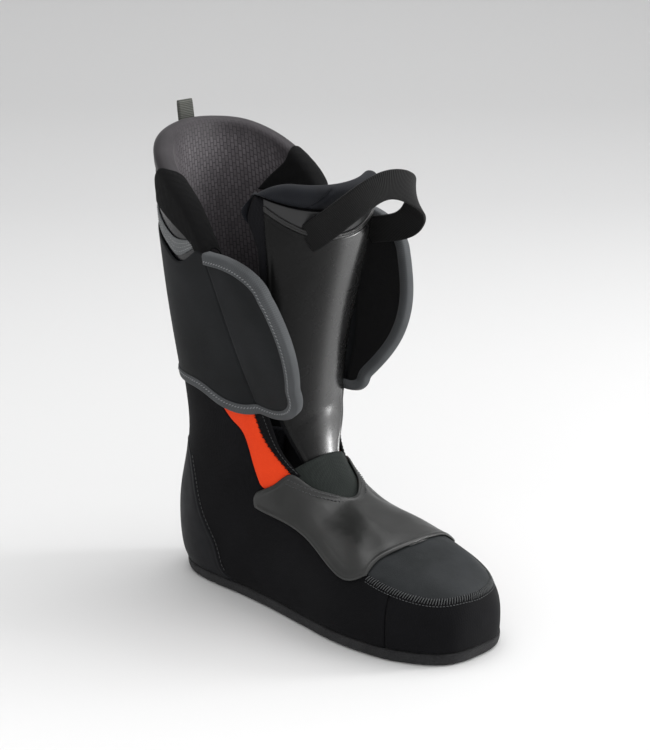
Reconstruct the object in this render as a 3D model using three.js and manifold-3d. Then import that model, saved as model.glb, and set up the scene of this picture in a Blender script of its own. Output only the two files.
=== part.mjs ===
// Removable inner liner of an alpine ski boot (right foot), built as its separate sewn and glued pieces.
// Millimetres. The sole rests on Z = 0, the toe points along -Y and the outer side of the foot is -X.
import * as THREE from 'three';
import { mergeVertices } from 'three/addons/utils/BufferGeometryUtils.js';
import Module from 'manifold-3d';

const wasm = await Module();
wasm.setup();

// ---- Driving dimensions ----------------------------------------------------------------------

const HEEL_BACK = -67;          // back of the heel, measured forward from the leg's axis
const FOOT_LENGTH = 266;        // back of the heel to the tip of the toe
const TOE_WIDTH = 76;           // across the toes
const BALL_WIDTH = 98;          // across the ball of the foot
const HEEL_WIDTH = 78;          // across the heel
const ANKLE_WIDTH = 86;         // across the ankle bones
const CUFF_WIDTH = 132;         // across the collar
const TOE_HEIGHT = 53;          // top of the toe box
const INSTEP_HEIGHT = 98;       // top of the instep, under the tongue
const CUFF_HEIGHT = 325;        // top of the collar at the back
const CUFF_DEPTH = 160;         // front to back across the collar

const FOAM = 6.7;               // moulded foam of the shell
const SKIN = 2.0;               // outer fabric or synthetic leather with its backing
const OVERLAY = 2.0;            // a second layer sewn over the skin
const LINING = 3.6;             // padded lining inside the collar
const GAP = 0.3;                // between two layers, or two panels that meet at a seam

const SOLE = 8;                 // thickness of the sole
const BOARD = 2.2;              // lasting board over the sole
const FOOTBED = 4;              // removable footbed

const PIVOT_HEIGHT = 96;        // the ankle's flex line, above the ground
const FLEX_ANGLE = 8;           // how far the cuff leans forward, in degrees
const CREASE_GAP = 2.4;         // free slit between the cuff and each flap

const FLAP = 6.5;               // thickness of a flap
const BINDING_WIDTH = 7;        // edge binding of a flap
const TONGUE = 9;               // padding of the tongue
const TONGUE_INSET = 7;         // the tongue lies this far inside the front line of the cuff
const SHIN_PLATE = 1.6;         // moulded plate on the tongue
const LOOP_WIDTH = 20;          // webbing of the pull loop
const LOOP_THICKNESS = 2.2;
const TAB_WIDTH = 13;           // webbing tab at the back of the collar
const TAB_HEIGHT = 15;
const TAB_THICKNESS = 3;        // the webbing is folded double

const RING_COLUMNS = 20;        // facets around a ring
const FINENESS = 0.06;          // cut edges are kept this true
const RING_STEP = 1;            // spacing of the rows, in rings

// ---- The last: one smooth surface from the toe, round the heel and up the leg ----------------

const TOE_TIP = HEEL_BACK + FOOT_LENGTH;
const CUFF_BACK = -74;
const CUFF_FRONT = CUFF_BACK + CUFF_DEPTH;
const BELOW = -6;               // the rings dip below the ground, and the sole's plane trims them
const mix = (a, b, t) => a + (b - a) * t;
const legZ = share => mix(INSTEP_HEIGHT + 23, CUFF_HEIGHT, share);
const legHalf = share => mix(ANKLE_WIDTH, CUFF_WIDTH, share) / 2;
const legFront = share => mix(58, CUFF_FRONT, share);
const legBack = share => mix(-51, CUFF_BACK, share);

// Each ring: front or top point (forward, up), back or bottom point (forward, up), half width,
// sideways shift, share of the way from front to back where it is widest, and its squareness there
// and at the back (2 is an ellipse).
const RINGS = [
  [TOE_TIP, 27, TOE_TIP, 22, 2, 3, 0.5, 2.2, 2.2],
  [TOE_TIP - 2, 38, TOE_TIP - 2, 6, TOE_WIDTH / 2 - 21, 3, 0.5, 2.2, 2.6],
  [TOE_TIP - 8, TOE_HEIGHT - 7, TOE_TIP - 8, -4, TOE_WIDTH / 2 - 10, 3, 0.55, 2.2, 3.2],
  [TOE_TIP - 20, TOE_HEIGHT, TOE_TIP - 20, BELOW, TOE_WIDTH / 2, 3, 0.6, 2.3, 3.6],
  [TOE_TIP - 38, TOE_HEIGHT + 7, TOE_TIP - 38, BELOW, mix(TOE_WIDTH, BALL_WIDTH, 0.68) / 2, 2, 0.62,
    2.4, 3.8],
  [140, TOE_HEIGHT + 13, 140, BELOW, BALL_WIDTH / 2, 1, 0.62, 2.4, 3.8],
  [112, INSTEP_HEIGHT - 25, 112, BELOW, BALL_WIDTH / 2, 0, 0.62, 2.4, 3.8],
  [90, INSTEP_HEIGHT - 19, 78, BELOW, mix(BALL_WIDTH, HEEL_WIDTH, 0.4) / 2, 0, 0.62, 2.4, 3.8],
  [76, INSTEP_HEIGHT - 10, 40, BELOW, mix(BALL_WIDTH, HEEL_WIDTH, 0.8) / 2, 0, 0.6, 2.4, 3.6],
  [67, INSTEP_HEIGHT, 0, BELOW, HEEL_WIDTH / 2, 0, 0.58, 2.4, 3.4],
  [62, INSTEP_HEIGHT + 11, HEEL_BACK + 23, BELOW, HEEL_WIDTH / 2, 0, 0.55, 2.4, 3.0],
  [59, INSTEP_HEIGHT + 23, HEEL_BACK, 18, mix(HEEL_WIDTH, ANKLE_WIDTH, 0.25) / 2, 0, 0.52, 2.5, 2.5],
  [58, INSTEP_HEIGHT + 35, HEEL_BACK + 3, 58, mix(HEEL_WIDTH, ANKLE_WIDTH, 0.75) / 2, 0, 0.5, 2.6, 2.5],
  [58, INSTEP_HEIGHT + 49, HEEL_BACK + 13, PIVOT_HEIGHT, legHalf(0.05), 0, 0.5, 2.7, 2.5],
  [legFront(0.08), legZ(0.22), legBack(0), legZ(0.045), legHalf(0.18), 0, 0.5, 2.8, 2.6],
  [legFront(0.22), legZ(0.33), legBack(0.13), legZ(0.23), legHalf(0.39), 0, 0.5, 2.9, 2.7],
  [legFront(0.43), legZ(0.46), legBack(0.35), legZ(0.435), legHalf(0.61), 0, 0.5, 3.0, 2.7],
  [legFront(0.68), legZ(0.6), legBack(0.61), legZ(0.655), legHalf(0.83), 0, 0.5, 3.0, 2.5],
  [legFront(0.86), legZ(0.705), legBack(0.83), legZ(0.855), legHalf(0.96), 0, 0.5, 3.0, 2.35],
  [legFront(1), legZ(0.795), legBack(1), legZ(1), legHalf(1), 0, 0.5, 3.0, 2.3],
  [legFront(1.13), legZ(0.895), legBack(1.17), legZ(1.16), legHalf(1.04), 0, 0.5, 3.0, 2.3],
  [legFront(1.26), legZ(0.995), legBack(1.34), legZ(1.32), legHalf(1.08), 0, 0.5, 3.0, 2.3],
];
const LAST_RING = RINGS.length - 1;

// Smooth curve through a list of equally long rows, at t from 0 to 1 or, for rings, by ring number.
function smoothRow(rows, place) {
  const i = Math.min(Math.max(Math.floor(place), 0), rows.length - 2);
  const t = place - i;
  const at = k => rows[Math.min(Math.max(k, 0), rows.length - 1)];
  const [p0, p1, p2, p3] = [at(i - 1), at(i), at(i + 1), at(i + 2)];
  return p1.map((b, k) => {
    const [a, c, d] = [p0[k], p2[k], p3[k]];
    return b + 0.5 * t * (c - a + t * (2 * a - 5 * b + 4 * c - d + t * (3 * (b - c) + d - a)));
  });
}
const along = (rows, t) => smoothRow(rows, t * (rows.length - 1));

// A point of the last at a ring number and an angle in degrees: 0 is the front or top, 90 the outer
// side, 180 the back or sole and 270 the inner side.
function lastPoint(ring, degrees) {
  const [aF, aZ, bF, bZ, half, shift, widest, nFront, nBack] = smoothRow(RINGS, ring);
  const angle = THREE.MathUtils.degToRad(degrees);
  const c = Math.cos(angle);
  const s = Math.sin(angle);
  const n = mix(nFront, nBack, (1 - c) / 2);
  const reach = (Math.abs(c) ** n + Math.abs(s) ** n) ** (-1 / n);
  const share = c > 0 ? widest * (1 - reach * c) : widest - (1 - widest) * reach * c;
  return new THREE.Vector3(shift - half * reach * s, -mix(aF, bF, share), mix(aZ, bZ, share));
}

// A surface with a thickness direction: point(a, b, depth) steps off the base along its normal.
function thickened(base, outward, step = 0.02) {
  return (a, b, depth) => {
    const p = base(a, b);
    const da = base(a + step, b).sub(base(a - step, b));
    const db = base(a, b + step).sub(base(a, b - step));
    return p.addScaledVector(da.cross(db).normalize(), outward * depth);
  };
}
const last = thickened(lastPoint, 1);

// ---- Closed solids ---------------------------------------------------------------------------

function geometry(points, faces) {
  const g = new THREE.BufferGeometry();
  g.setAttribute('position', new THREE.Float32BufferAttribute(points.flatMap(p => [p.x, p.y, p.z]), 3));
  g.setIndex(faces.flat());
  return g;
}

function solid(source) {
  const bare = source.clone();
  bare.deleteAttribute('normal');
  bare.deleteAttribute('uv');
  const g = mergeVertices(bare, 1e-4);
  const index = Array.from(g.index.array);
  const kept = [];
  for (let i = 0; i < index.length; i += 3) {
    const [a, b, c] = index.slice(i, i + 3);
    if (a !== b && b !== c && c !== a) kept.push(a, b, c);
  }
  return new wasm.Manifold(new wasm.Mesh({
    numProp: 3,
    vertProperties: new Float32Array(g.attributes.position.array),
    triVerts: new Uint32Array(kept),
  }));
}

// A block between two depths over a grid of rows and columns of a thick surface.
function block(point, place, low, high, rows, columns) {
  const points = [];
  for (const depth of [low, high]) {
    for (let j = 0; j <= rows; j++) {
      for (let i = 0; i <= columns; i++) {
        const [a, b] = place(i / columns, j / rows);
        points.push(point(a, b, depth));
      }
    }
  }
  const id = (side, j, i) => side * (rows + 1) * (columns + 1) + j * (columns + 1) + i;
  const faces = [];
  const quad = (a, b, c, d) => faces.push([a, b, c], [a, c, d]);
  for (let j = 0; j < rows; j++) {
    for (let i = 0; i < columns; i++) {
      quad(id(1, j, i), id(1, j, i + 1), id(1, j + 1, i + 1), id(1, j + 1, i));
      quad(id(0, j, i), id(0, j + 1, i), id(0, j + 1, i + 1), id(0, j, i + 1));
    }
  }
  for (let j = 0; j < rows; j++) {
    quad(id(0, j, 0), id(1, j, 0), id(1, j + 1, 0), id(0, j + 1, 0));
    quad(id(1, j, columns), id(0, j, columns), id(0, j + 1, columns), id(1, j + 1, columns));
  }
  for (let i = 0; i < columns; i++) {
    quad(id(1, 0, i), id(0, 0, i), id(0, 0, i + 1), id(1, 0, i + 1));
    quad(id(0, rows, i), id(1, rows, i), id(1, rows, i + 1), id(0, rows, i + 1));
  }
  return outward(geometry(points, faces));
}

// Turns a closed geometry so that its faces point out.
function outward(g) {
  const p = g.attributes.position;
  const index = g.index.array;
  const v = k => new THREE.Vector3().fromBufferAttribute(p, index[k]);
  let volume = 0;
  for (let i = 0; i < index.length; i += 3) volume += v(i).dot(v(i + 1).cross(v(i + 2)));
  if (volume < 0) {
    for (let i = 0; i < index.length; i += 3) [index[i + 1], index[i + 2]] = [index[i + 2], index[i + 1]];
  }
  return solid(g);
}

// The whole last as a closed body at a depth, from the toe's tip up a number of rows. All depths share
// the same rows and columns, so two layers lie parallel facet by facet.
function body(depth, rows) {
  const topRing = rows * RING_STEP;
  const points = [last(0, 0, depth).lerp(last(0, 180, depth), 0.5)];
  for (let j = 1; j <= rows; j++) {
    for (let i = 0; i < RING_COLUMNS; i++) points.push(last(j * RING_STEP, 360 * i / RING_COLUMNS, depth));
  }
  points.push(last(topRing, 0, depth).lerp(last(topRing, 180, depth), 0.5));
  const id = (j, i) => 1 + (j - 1) * RING_COLUMNS + (i % RING_COLUMNS);
  const faces = [];
  for (let i = 0; i < RING_COLUMNS; i++) {
    faces.push([0, id(1, i + 1), id(1, i)]);
    for (let j = 1; j < rows; j++) {
      faces.push([id(j, i), id(j, i + 1), id(j + 1, i + 1)], [id(j, i), id(j + 1, i + 1), id(j + 1, i)]);
    }
    faces.push([points.length - 1, id(rows, i), id(rows, i + 1)]);
  }
  return outward(geometry(points, faces));
}

// A slab across the whole width, from an outline in the side view (forward, up).
function sideSlab(outline, fromX = -200, toX = 200) {
  const shape = new THREE.Shape(outline.map(([f, z]) => new THREE.Vector2(-f, z)));
  const g = new THREE.ExtrudeGeometry(shape, { depth: toX - fromX, bevelEnabled: false });
  g.applyMatrix4(new THREE.Matrix4().set(0, 0, 1, fromX, 1, 0, 0, 0, 0, 1, 0, 0, 0, 0, 0, 1));
  return outward(mergeVertices(stripped(g), 1e-4));
}

function stripped(g) {
  g.deleteAttribute('normal');
  g.deleteAttribute('uv');
  return g;
}

// A patch of a surface inside four edge curves, each a list of [a, b] places. Bottom and top run from
// left to right, left and right run from bottom to top.
function patch({ left, right, bottom, top }) {
  const low = bottom ?? [left[0], right[0]];
  const high = top ?? [left.at(-1), right.at(-1)];
  return (s, t) => [0, 1].map(k => {
    const [l, r, b, h] = [along(left, t)[k], along(right, t)[k], along(low, s)[k], along(high, s)[k]];
    const corners = mix(mix(low[0][k], low.at(-1)[k], s), mix(high[0][k], high.at(-1)[k], s), t);
    return mix(l, r, s) + mix(b, h, t) - corners;
  });
}

// The same patch drawn in by a margin in millimetres on all four sides.
function inset(point, place, margin) {
  const span = (p, q) => point(...place(...p), 0).distanceTo(point(...place(...q), 0));
  const across = margin / Math.max(span([0, 0.5], [0.5, 0.5]) + span([0.5, 0.5], [1, 0.5]), margin * 4);
  const up = margin / Math.max(span([0.5, 0], [0.5, 0.5]) + span([0.5, 0.5], [0.5, 1]), margin * 4);
  return (s, t) => place(mix(across, 1 - across, s), mix(up, 1 - up, t));
}

// ---- Layers of the last, trimmed by the sole, the throat and the ankle's flex line ------------

const TOP_ROW = Math.floor((LAST_RING - 1) / RING_STEP);
const skinOut = 0;
const skinIn = skinOut - SKIN;
const foamOut = skinIn - GAP;
const foamIn = foamOut - FOAM;
const liningOut = foamIn - GAP;
const overlayIn = skinOut + GAP;
const overlayOut = overlayIn + OVERLAY;
const bandIn = overlayOut + GAP;

const layer = (low, high) => body(high, TOP_ROW).subtract(body(low, TOP_ROW + 1));
const foamLayer = layer(foamIn, foamOut);
const skinLayer = layer(skinIn, skinOut);
const overlayLayer = layer(overlayIn, overlayOut);

const FAR = 420;
const rise = FAR * Math.tan(THREE.MathUtils.degToRad(FLEX_ANGLE + 1.5));
const footSide = sideSlab([[-FAR, SOLE + GAP], [FAR, SOLE + GAP], [FAR, PIVOT_HEIGHT - GAP / 2],
  [-FAR, PIVOT_HEIGHT - GAP / 2]]);
const cuffSide = sideSlab([[-FAR, PIVOT_HEIGHT + GAP / 2], [0, PIVOT_HEIGHT + GAP / 2],
  [FAR, PIVOT_HEIGHT + GAP / 2 + rise], [FAR, FAR * 2], [-FAR, FAR * 2]]);
const halfOf = side => sideSlab([[-FAR, -FAR], [FAR, -FAR], [FAR, FAR * 2], [-FAR, FAR * 2]],
  side < 0 ? -FAR : GAP / 2, side < 0 ? -GAP / 2 : FAR);
const halves = { lateral: halfOf(-1), medial: halfOf(1) };

// A cutter over a patch of the last, deep enough for one layer.
const CUTTER_REACH = 2.2;
function cutter(outline, low, high, margin = 0, rows = 5, columns = 5) {
  const place = inset(last, patch(outline), margin / 2);
  return block(last, place, low - CUTTER_REACH, high + CUTTER_REACH, rows, columns);
}
const swap = edge => edge.map(([ring, degrees]) => [ring, -degrees]);
const toInner = ({ left, right, bottom, top }) => ({
  left: swap(left),
  right: swap(right),
  bottom: bottom && swap(bottom),
  top: top && swap(top),
});
// The same outline drawn in towards the front line, as a share of its angles.
const narrowed = (outline, share) => Object.fromEntries(Object.entries(outline)
  .map(([name, edge]) => [name, edge.map(([ring, degrees]) => [ring, degrees * share])]));
const overFront = edge => [...edge, ...swap(edge).reverse()];
const overBack = edge => [...edge, ...edge.map(([ring, degrees]) => [ring, 360 - degrees]).reverse()];

// ---- Seam lines, as places on the last: [ring, degrees] ---------------------------------------

const neck = overFront([[9.8, 38], [8.7, 30], [7.9, 19], [7.35, 6]]);
const throatEdge = [[9.8, 38], [11, 43], [12.2, 48], [13.35, 54], [14.1, 60.5]];
const crease = [[13.35, 54], [14.1, 60.5], [15.15, 68.5], [16.1, 77.5], [16.95, 86]];
const collarFront = [[16.95, 86], [17.5, 91], [18.05, 97], [18.35, 102]];
const rim = overBack([[18.35, 102], [18.55, 125], [18.72, 150], [18.75, 172]]);
const stitchLine = [[5.04, 52], [4.03, 52.5], [2.54, 44], [1.65, 16]];
const overlayToe = [[5.04, 51], [5.0, 35], [4.85, 16]];
const overlayLow = [[5.04, 51], [5.39, 60], [5.8, 61.5], [6.4, 57], [7.39, 54.5], [8.69, 60.5], [9.8, 66]];
const overlayTop = [[9.8, 66], [10.2, 61], [9.95, 50]];
const heelSeam = [[8.9, 128], [9.5, 118], [10.12, 104], [11.17, 106], [12.0, 113], [12.53, 120]];
const insertRear = [[10.25, 57.5], [10.97, 59], [12.37, 65.5], [13.1, 76.5], [13.6, 86]];
const insertFront = [[10.12, 39.5], [11.04, 45], [12.18, 53], [12.88, 57], [13.6, 62]];
const stripFront = [[9.67, 34], [11, 40.5], [12.2, 45.5], [13, 49.5], [13.6, 53]];
const wrapLow = [[13.35, 54], [13.26, 65.5], [13.7, 86], [14.12, 102.5], [14.34, 119.5], [14.5, 145],
  [14.55, 172]];
const wrapTop = [[16.95, 86], [16.98, 91], [16.8, 98.5], [16.65, 108.5], [16.8, 119.5], [17.1, 145],
  [17.2, 172]];
const wrapRear = [[14.55, 172], [15.9, 172], [17.2, 172]];

const throat = {
  left: throatEdge, right: swap(throatEdge), bottom: neck, top: overFront([[14.1, 60.5], [14.1, 20]]),
};
const cuffEdge = [...throatEdge.slice(0, 4), ...crease.slice(1), ...collarFront.slice(1)];
const cuffArea = {
  left: [[9.0, 34], ...cuffEdge],
  right: [[9.0, 326], ...cuffEdge.map(([ring, degrees]) => [ring, 360 - degrees])],
  top: rim,
};
const toeCap = { left: [stitchLine[0], overlayToe[0]], right: [swap(stitchLine)[0], swap(overlayToe)[0]],
  bottom: overFront(stitchLine), top: overFront(overlayToe) };
const heelPatch = { left: heelSeam, right: heelSeam.map(([ring, degrees]) => [ring, 360 - degrees]),
  top: overBack([[12.53, 120], [13.1, 150]]) };
const insert = { left: insertRear, right: insertFront };
const strip = { left: insertFront, right: stripFront };
const wrap = { left: wrapRear, right: crease, bottom: [...wrapLow].reverse(), top: [...wrapTop].reverse() };

// ---- Pieces ----------------------------------------------------------------------------------

const liner = new THREE.Group();

// The main body of a cut shape, without the offcuts that a seam leaves beside it.
const mainBody = shape => shape.decompose().reduce((a, b) => (b.volume() > a.volume() ? b : a));

function add(name, shape, colour, roughness, metalness = 0) {
  const mesh = mainBody(shape).simplify(FINENESS).getMesh();
  const g = new THREE.BufferGeometry();
  g.setAttribute('position', new THREE.Float32BufferAttribute(Array.from(mesh.vertProperties), 3));
  g.setIndex(Array.from(mesh.triVerts));
  g.computeVertexNormals();
  const piece = new THREE.Mesh(g, new THREE.MeshStandardMaterial({ color: colour, roughness, metalness }));
  piece.name = name;
  liner.add(piece);
}

const BLACK = 0x1b1b1d;
const CHARCOAL = 0x35373a;
const GREY = 0x55585c;
const PALE = 0x8c8f92;
const KNIT = 0x6b6468;
const ORANGE = 0xf0521c;
const FELT = 0x3c3d40;

const throatCut = cutter(throat, foamIn - 2, skinOut, -GAP, 7, 12);
const cuffCut = cutter(cuffArea, foamIn - 2, overlayOut, 0, 16, 18);

// Sole, lasting board and footbed: flat plates under and inside the shell.
const flatBand = (low, high) => sideSlab([[-FAR, low], [FAR, low], [FAR, high], [-FAR, high]]);
const boardTop = SOLE + GAP + BOARD;
const innerBody = body(foamIn - GAP, TOP_ROW);
add('outsole', body(skinOut + 1, TOP_ROW).intersect(flatBand(0, SOLE)), FELT, 0.95);
add('lasting_board', innerBody.intersect(flatBand(SOLE + GAP, boardTop)), 0x77726a, 0.8);
add('footbed', innerBody.intersect(flatBand(boardTop + GAP, boardTop + GAP + FOOTBED)), 0x4a4d55, 0.9);

// Foam shells of the foot and the cuff, parted along the flex line.
add('foot_shell', foamLayer.intersect(footSide).subtract(throatCut), 0x2c2c2f, 0.9);
add('cuff_shell', foamLayer.intersect(cuffSide).intersect(cuffCut), 0x2c2c2f, 0.9);

// Foot skins.
const toeSeam = TOE_TIP - 41;
const toeSide = sideSlab([[toeSeam + GAP / 2, -FAR], [FAR, -FAR], [FAR, FAR], [toeSeam + GAP / 2, FAR]]);
const quarterSide = sideSlab([[-FAR, -FAR], [toeSeam - GAP / 2, -FAR], [toeSeam - GAP / 2, FAR],
  [-FAR, FAR]]);
const footSkin = skinLayer.intersect(footSide);
const toeCapCut = cutter(toeCap, skinIn, skinOut, -GAP, 5, 12);
const heelCut = cutter(heelPatch, skinIn, skinOut, 0, 7, 10);
add('toe_cap', footSkin.intersect(cutter(toeCap, skinIn, skinOut, GAP * 3, 5, 12))
  .intersect(cutter(narrowed(toeCap, 0.965), skinIn, skinOut, 0, 5, 12)), CHARCOAL, 0.75);
add('toe_band', footSkin.intersect(toeSide).subtract(toeCapCut), BLACK, 0.8);
add('heel_counter', footSkin.intersect(cutter(heelPatch, skinIn, skinOut, GAP * 2, 7, 10)), BLACK, 0.45);

const inserts = {
  lateral: cutter(insert, skinIn, skinOut, -GAP, 6, 2),
  medial: cutter(toInner(insert), skinIn, skinOut, -GAP, 6, 2),
};
const strips = {
  lateral: cutter(strip, skinIn, skinOut, 0, 6, 2),
  medial: cutter(toInner(strip), skinIn, skinOut, 0, 6, 2),
};
const sideOutline = { lateral: outline => outline, medial: toInner };
for (const side of ['lateral', 'medial']) {
  const own = sideOutline[side];
  const half = halves[side];
  const quarter = footSkin.intersect(quarterSide).intersect(half);
  add(`${side}_quarter`, quarter.subtract(toeCapCut).subtract(heelCut).subtract(throatCut)
    .subtract(inserts[side]).subtract(strips[side]), BLACK, 0.7);
  const insertCut = cutter(own(insert), skinIn, skinOut, GAP * 2, 6, 2);
  add(`${side}_flex_insert`, skinLayer.intersect(insertCut), ORANGE, 0.7);
  add(`${side}_throat_strip`, skinLayer.intersect(cutter(own(strip), skinIn, skinOut, GAP * 2, 6, 2))
    .subtract(inserts[side]), BLACK, 0.8);
}

// Stretch gusset in the neck of the throat, and the instep overlay sewn round it.
const gussetNeck = neck.map(([ring, degrees]) => [ring + 0.05, degrees * 0.95]);
const gusset = { left: [gussetNeck[0], [9.9, 36]], right: [gussetNeck.at(-1), [9.9, -36]], bottom: gussetNeck,
  top: overFront([[9.9, 36], [9.8, 18]]) };
add('instep_gusset', skinLayer.intersect(cutter(gusset, skinIn, skinOut, GAP * 2, 3, 12))
  .intersect(cutter(throat, skinIn, skinOut, GAP * 2, 7, 12))
  .subtract(cutter(strip, skinIn, skinOut, -GAP, 6, 2))
  .subtract(cutter(toInner(strip), skinIn, skinOut, -GAP, 6, 2)), 0x2f3534, 0.85);
const overlay = {
  left: overlayLow,
  right: swap(overlayLow),
  bottom: overFront(overlayToe),
  top: overFront([...overlayTop, ...neck.slice(0, 4)]),
};
add('instep_overlay', overlayLayer.intersect(cutter(overlay, overlayIn, overlayOut, GAP, 8, 16))
  .intersect(footSide), GREY, 0.55);

// Cuff skins: ankle skins below, collar cover above, the wraps over both.
const cuffSkin = skinLayer.intersect(cuffSide).intersect(cuffCut);
const coverSplit = 15.6;
const coverArea = { left: [[coverSplit, 30], [20, 30]], right: [[coverSplit, 330], [20, 330]] };
const coverCut = cutter(coverArea, skinIn, skinOut, -GAP, 3, 22);
add('collar_cover', cuffSkin.intersect(cutter(coverArea, skinIn, skinOut, GAP * 2, 3, 22)), GREY, 0.3);
for (const side of ['lateral', 'medial']) {
  const own = sideOutline[side];
  add(`${side}_ankle_skin`, cuffSkin.intersect(halves[side]).subtract(coverCut)
    .subtract(inserts[side]).subtract(strips[side]), BLACK, 0.7);
  const wrapSolid = overlayLayer.intersect(cutter(own(wrap), overlayIn, overlayOut, GAP, 8, 10))
    .intersect(cuffSide);
  const lowerEdge = {
    left: [[14.95, 172], [14.55, 172]].reverse(),
    right: [[13.35, 54], [13.7, 57]],
    bottom: [...wrapLow].reverse(),
    top: [...wrapLow].reverse().map(([ring, degrees]) => [ring + 0.38, degrees + 0.5]),
  };
  const bandCut = cutter(own(lowerEdge), overlayIn, overlayOut, 0, 1, 10);
  add(`${side}_wrap_binding`, wrapSolid.intersect(bandCut), PALE, 0.8);
  const panelCut = cutter(own(lowerEdge), overlayIn, overlayOut, -GAP, 1, 10);
  add(`${side}_wrap_panel`, wrapSolid.subtract(panelCut), CHARCOAL, 0.6);
  const trim = {
    left: [[17.25, 165], [17.65, 165]],
    right: [[17.08, 86], [17.2, 87]],
    bottom: [[17.25, 165], [17.17, 145], [16.88, 119.5], [16.74, 108.5], [16.9, 98.5], [17.08, 90],
      [17.08, 86]],
    top: [[17.65, 165], [17.5, 145], [17.2, 122], [17.05, 108.5], [17.16, 98], [17.28, 90], [17.2, 87]],
  };
  const trimCut = cutter(own(trim), overlayIn, overlayOut, GAP, 1, 9);
  add(`${side}_trim_band`, overlayLayer.intersect(trimCut), PALE, 0.6);
}

// Padded lining inside the collar, with a plush patch on each side of its rim.
const liningLayer = layer(liningOut - LINING, liningOut);
const liningArea = {
  left: [[15, 75], [16.1, 84], [16.95, 92], [17.5, 97], [18.05, 103], [18.3, 108]],
  right: [[15, 285], [16.1, 276], [16.95, 268], [17.5, 263], [18.05, 257], [18.3, 252]],
  top: overBack([[18.3, 108], [18.5, 128], [18.66, 150], [18.7, 172]]),
};
const liningSolid = liningLayer.intersect(cutter(liningArea, liningOut - LINING, liningOut, 0, 8, 15))
  .intersect(cuffSide);
const plushArea = {
  left: [[16.6, 60], [17.6, 60], [19.3, 60]],
  right: [[16.6, 104], [17.6, 112], [18.2, 128], [19.3, 138]],
};
const plush = {};
for (const side of ['lateral', 'medial']) {
  const own = sideOutline[side];
  plush[side] = cutter(own(plushArea), liningOut - LINING, liningOut, -GAP, 4, 5);
  add(`${side}_plush_patch`, liningSolid
    .intersect(cutter(own(plushArea), liningOut - LINING, liningOut, GAP * 2, 4, 5)), BLACK, 1);
}
add('collar_lining', liningSolid.subtract(plush.lateral).subtract(plush.medial), KNIT, 0.9);

// Ankle pads: soft crescents inside the shell, behind each ankle bone.
const PAD = 5;
const padIn = liningOut - PAD;
const padLayer = layer(padIn, liningOut);
const pad = { left: [[11.0, 128], [11.9, 124], [12.7, 118]], right: [[10.9, 84], [11.6, 96], [12.3, 96]] };
for (const side of ['lateral', 'medial']) {
  const padCut = cutter(sideOutline[side](pad), padIn, liningOut, 0, 3, 3);
  add(`${side}_ankle_pad`, padLayer.intersect(padCut).intersect(footSide), 0x3a3a3d, 0.95);
}

// ---- Flaps that fold over the shin, one each side, hinged on the wrap's crease -----------------

const FLAP_STATIONS = 8;
const FLAPS = {
  lateral: { reach: [12, 27, 38, 45, 49, 50, 48, 41, 22], flare: -2, lift: 0 },
  medial: { reach: [18, 30, 39, 46, 50, 51, 50, 47, 36], flare: 12, lift: 16 },
};
const outerSign = { lateral: -1, medial: 1 };
const FLAP_SPAN = [0.02, 0.98];  // share of the crease that a flap takes up

function flapSurface(side) {
  const { reach, flare, lift } = FLAPS[side];
  const sign = outerSign[side];
  const lean = THREE.MathUtils.degToRad(flare);
  const forward = new THREE.Vector3(sign * Math.sin(lean), -Math.cos(lean), 0);
  const base = (s, t) => {
    const [ring, degrees] = along(crease, t);
    const root = last(ring, -sign * degrees, overlayOut);
    const length = smoothRow(reach.map(r => [r]), t * FLAP_STATIONS)[0];
    const p = root.addScaledVector(forward, CREASE_GAP + length * s);
    p.z += lift * s * t;
    return p;
  };
  return thickened(base, -sign, 0.01);
}

for (const side of ['lateral', 'medial']) {
  const surface = flapSurface(side);
  const width = Math.max(...FLAPS[side].reach);
  const edge = 1 - BINDING_WIDTH / width;
  const seam = 2 * GAP / width;
  const panelPlace = (s, t) => [s * (edge - seam), mix(...FLAP_SPAN, t)];
  const bindingPlace = (s, t) => [mix(edge, 1, s), mix(...FLAP_SPAN, t)];
  add(`${side}_flap`, block(surface, panelPlace, -FLAP, 0, 8, 3), CHARCOAL, 0.6);
  add(`${side}_flap_binding`, block(surface, bindingPlace, -FLAP, 0, 8, 1), PALE, 0.8);
}

// ---- Tongue: padded, with a moulded shin plate, an upper panel and a soft rim ------------------

// At each ring: half width, and how far its outer and inner edges wrap back round the shin.
const TONGUE_RINGS = [9.0, 11, 12.2, 13.35, 14.2, 16, 17, 18, 19.5];
const TONGUE_SHAPE = [
  [12, 3, 3], [20, 5, 5], [27, 8, 9], [32.5, 11, 13], [36, 13, 15], [43, 20, 19], [47, 27, 21],
  [49, 33, 23], [51, 42, 25],
];
const TONGUE_ARC = THREE.MathUtils.degToRad(72);

function tongueBase(s, ring) {
  const i = TONGUE_RINGS.findIndex((r, k) => ring <= TONGUE_RINGS[k + 1] || k === TONGUE_RINGS.length - 2);
  const place = i + (ring - TONGUE_RINGS[i]) / (TONGUE_RINGS[i + 1] - TONGUE_RINGS[i]);
  const [half, backOuter, backInner] = smoothRow(TONGUE_SHAPE, place);
  const [aF, aZ, bF, bZ] = smoothRow(RINGS, ring);
  const inward = new THREE.Vector2(bF - aF, bZ - aZ).normalize();
  const back = mix(backOuter, backInner, (s + 1) / 2);
  const setBack = TONGUE_INSET + back * (1 - Math.cos(s * TONGUE_ARC)) / (1 - Math.cos(TONGUE_ARC));
  const x = half * Math.sin(s * TONGUE_ARC) / Math.sin(TONGUE_ARC);
  return new THREE.Vector3(x, -(aF + inward.x * setBack), aZ + inward.y * setBack);
}
const tongue = thickened(tongueBase, 1, 0.01);
const pipingRing = s => 17.65 + 1.1 * s * s;
const rimRing = s => 18.62 + 0.25 * s * s;
const tongueTop = s => 19.45 - 0.25 * s * s;
const TONGUE_BOTTOM = 9.0;
const PLATE_SHARE = 0.86;
const tongueColumn = s => mix(-1, 1, s);
const plateColumn = s => mix(-PLATE_SHARE, PLATE_SHARE, s);
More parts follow.
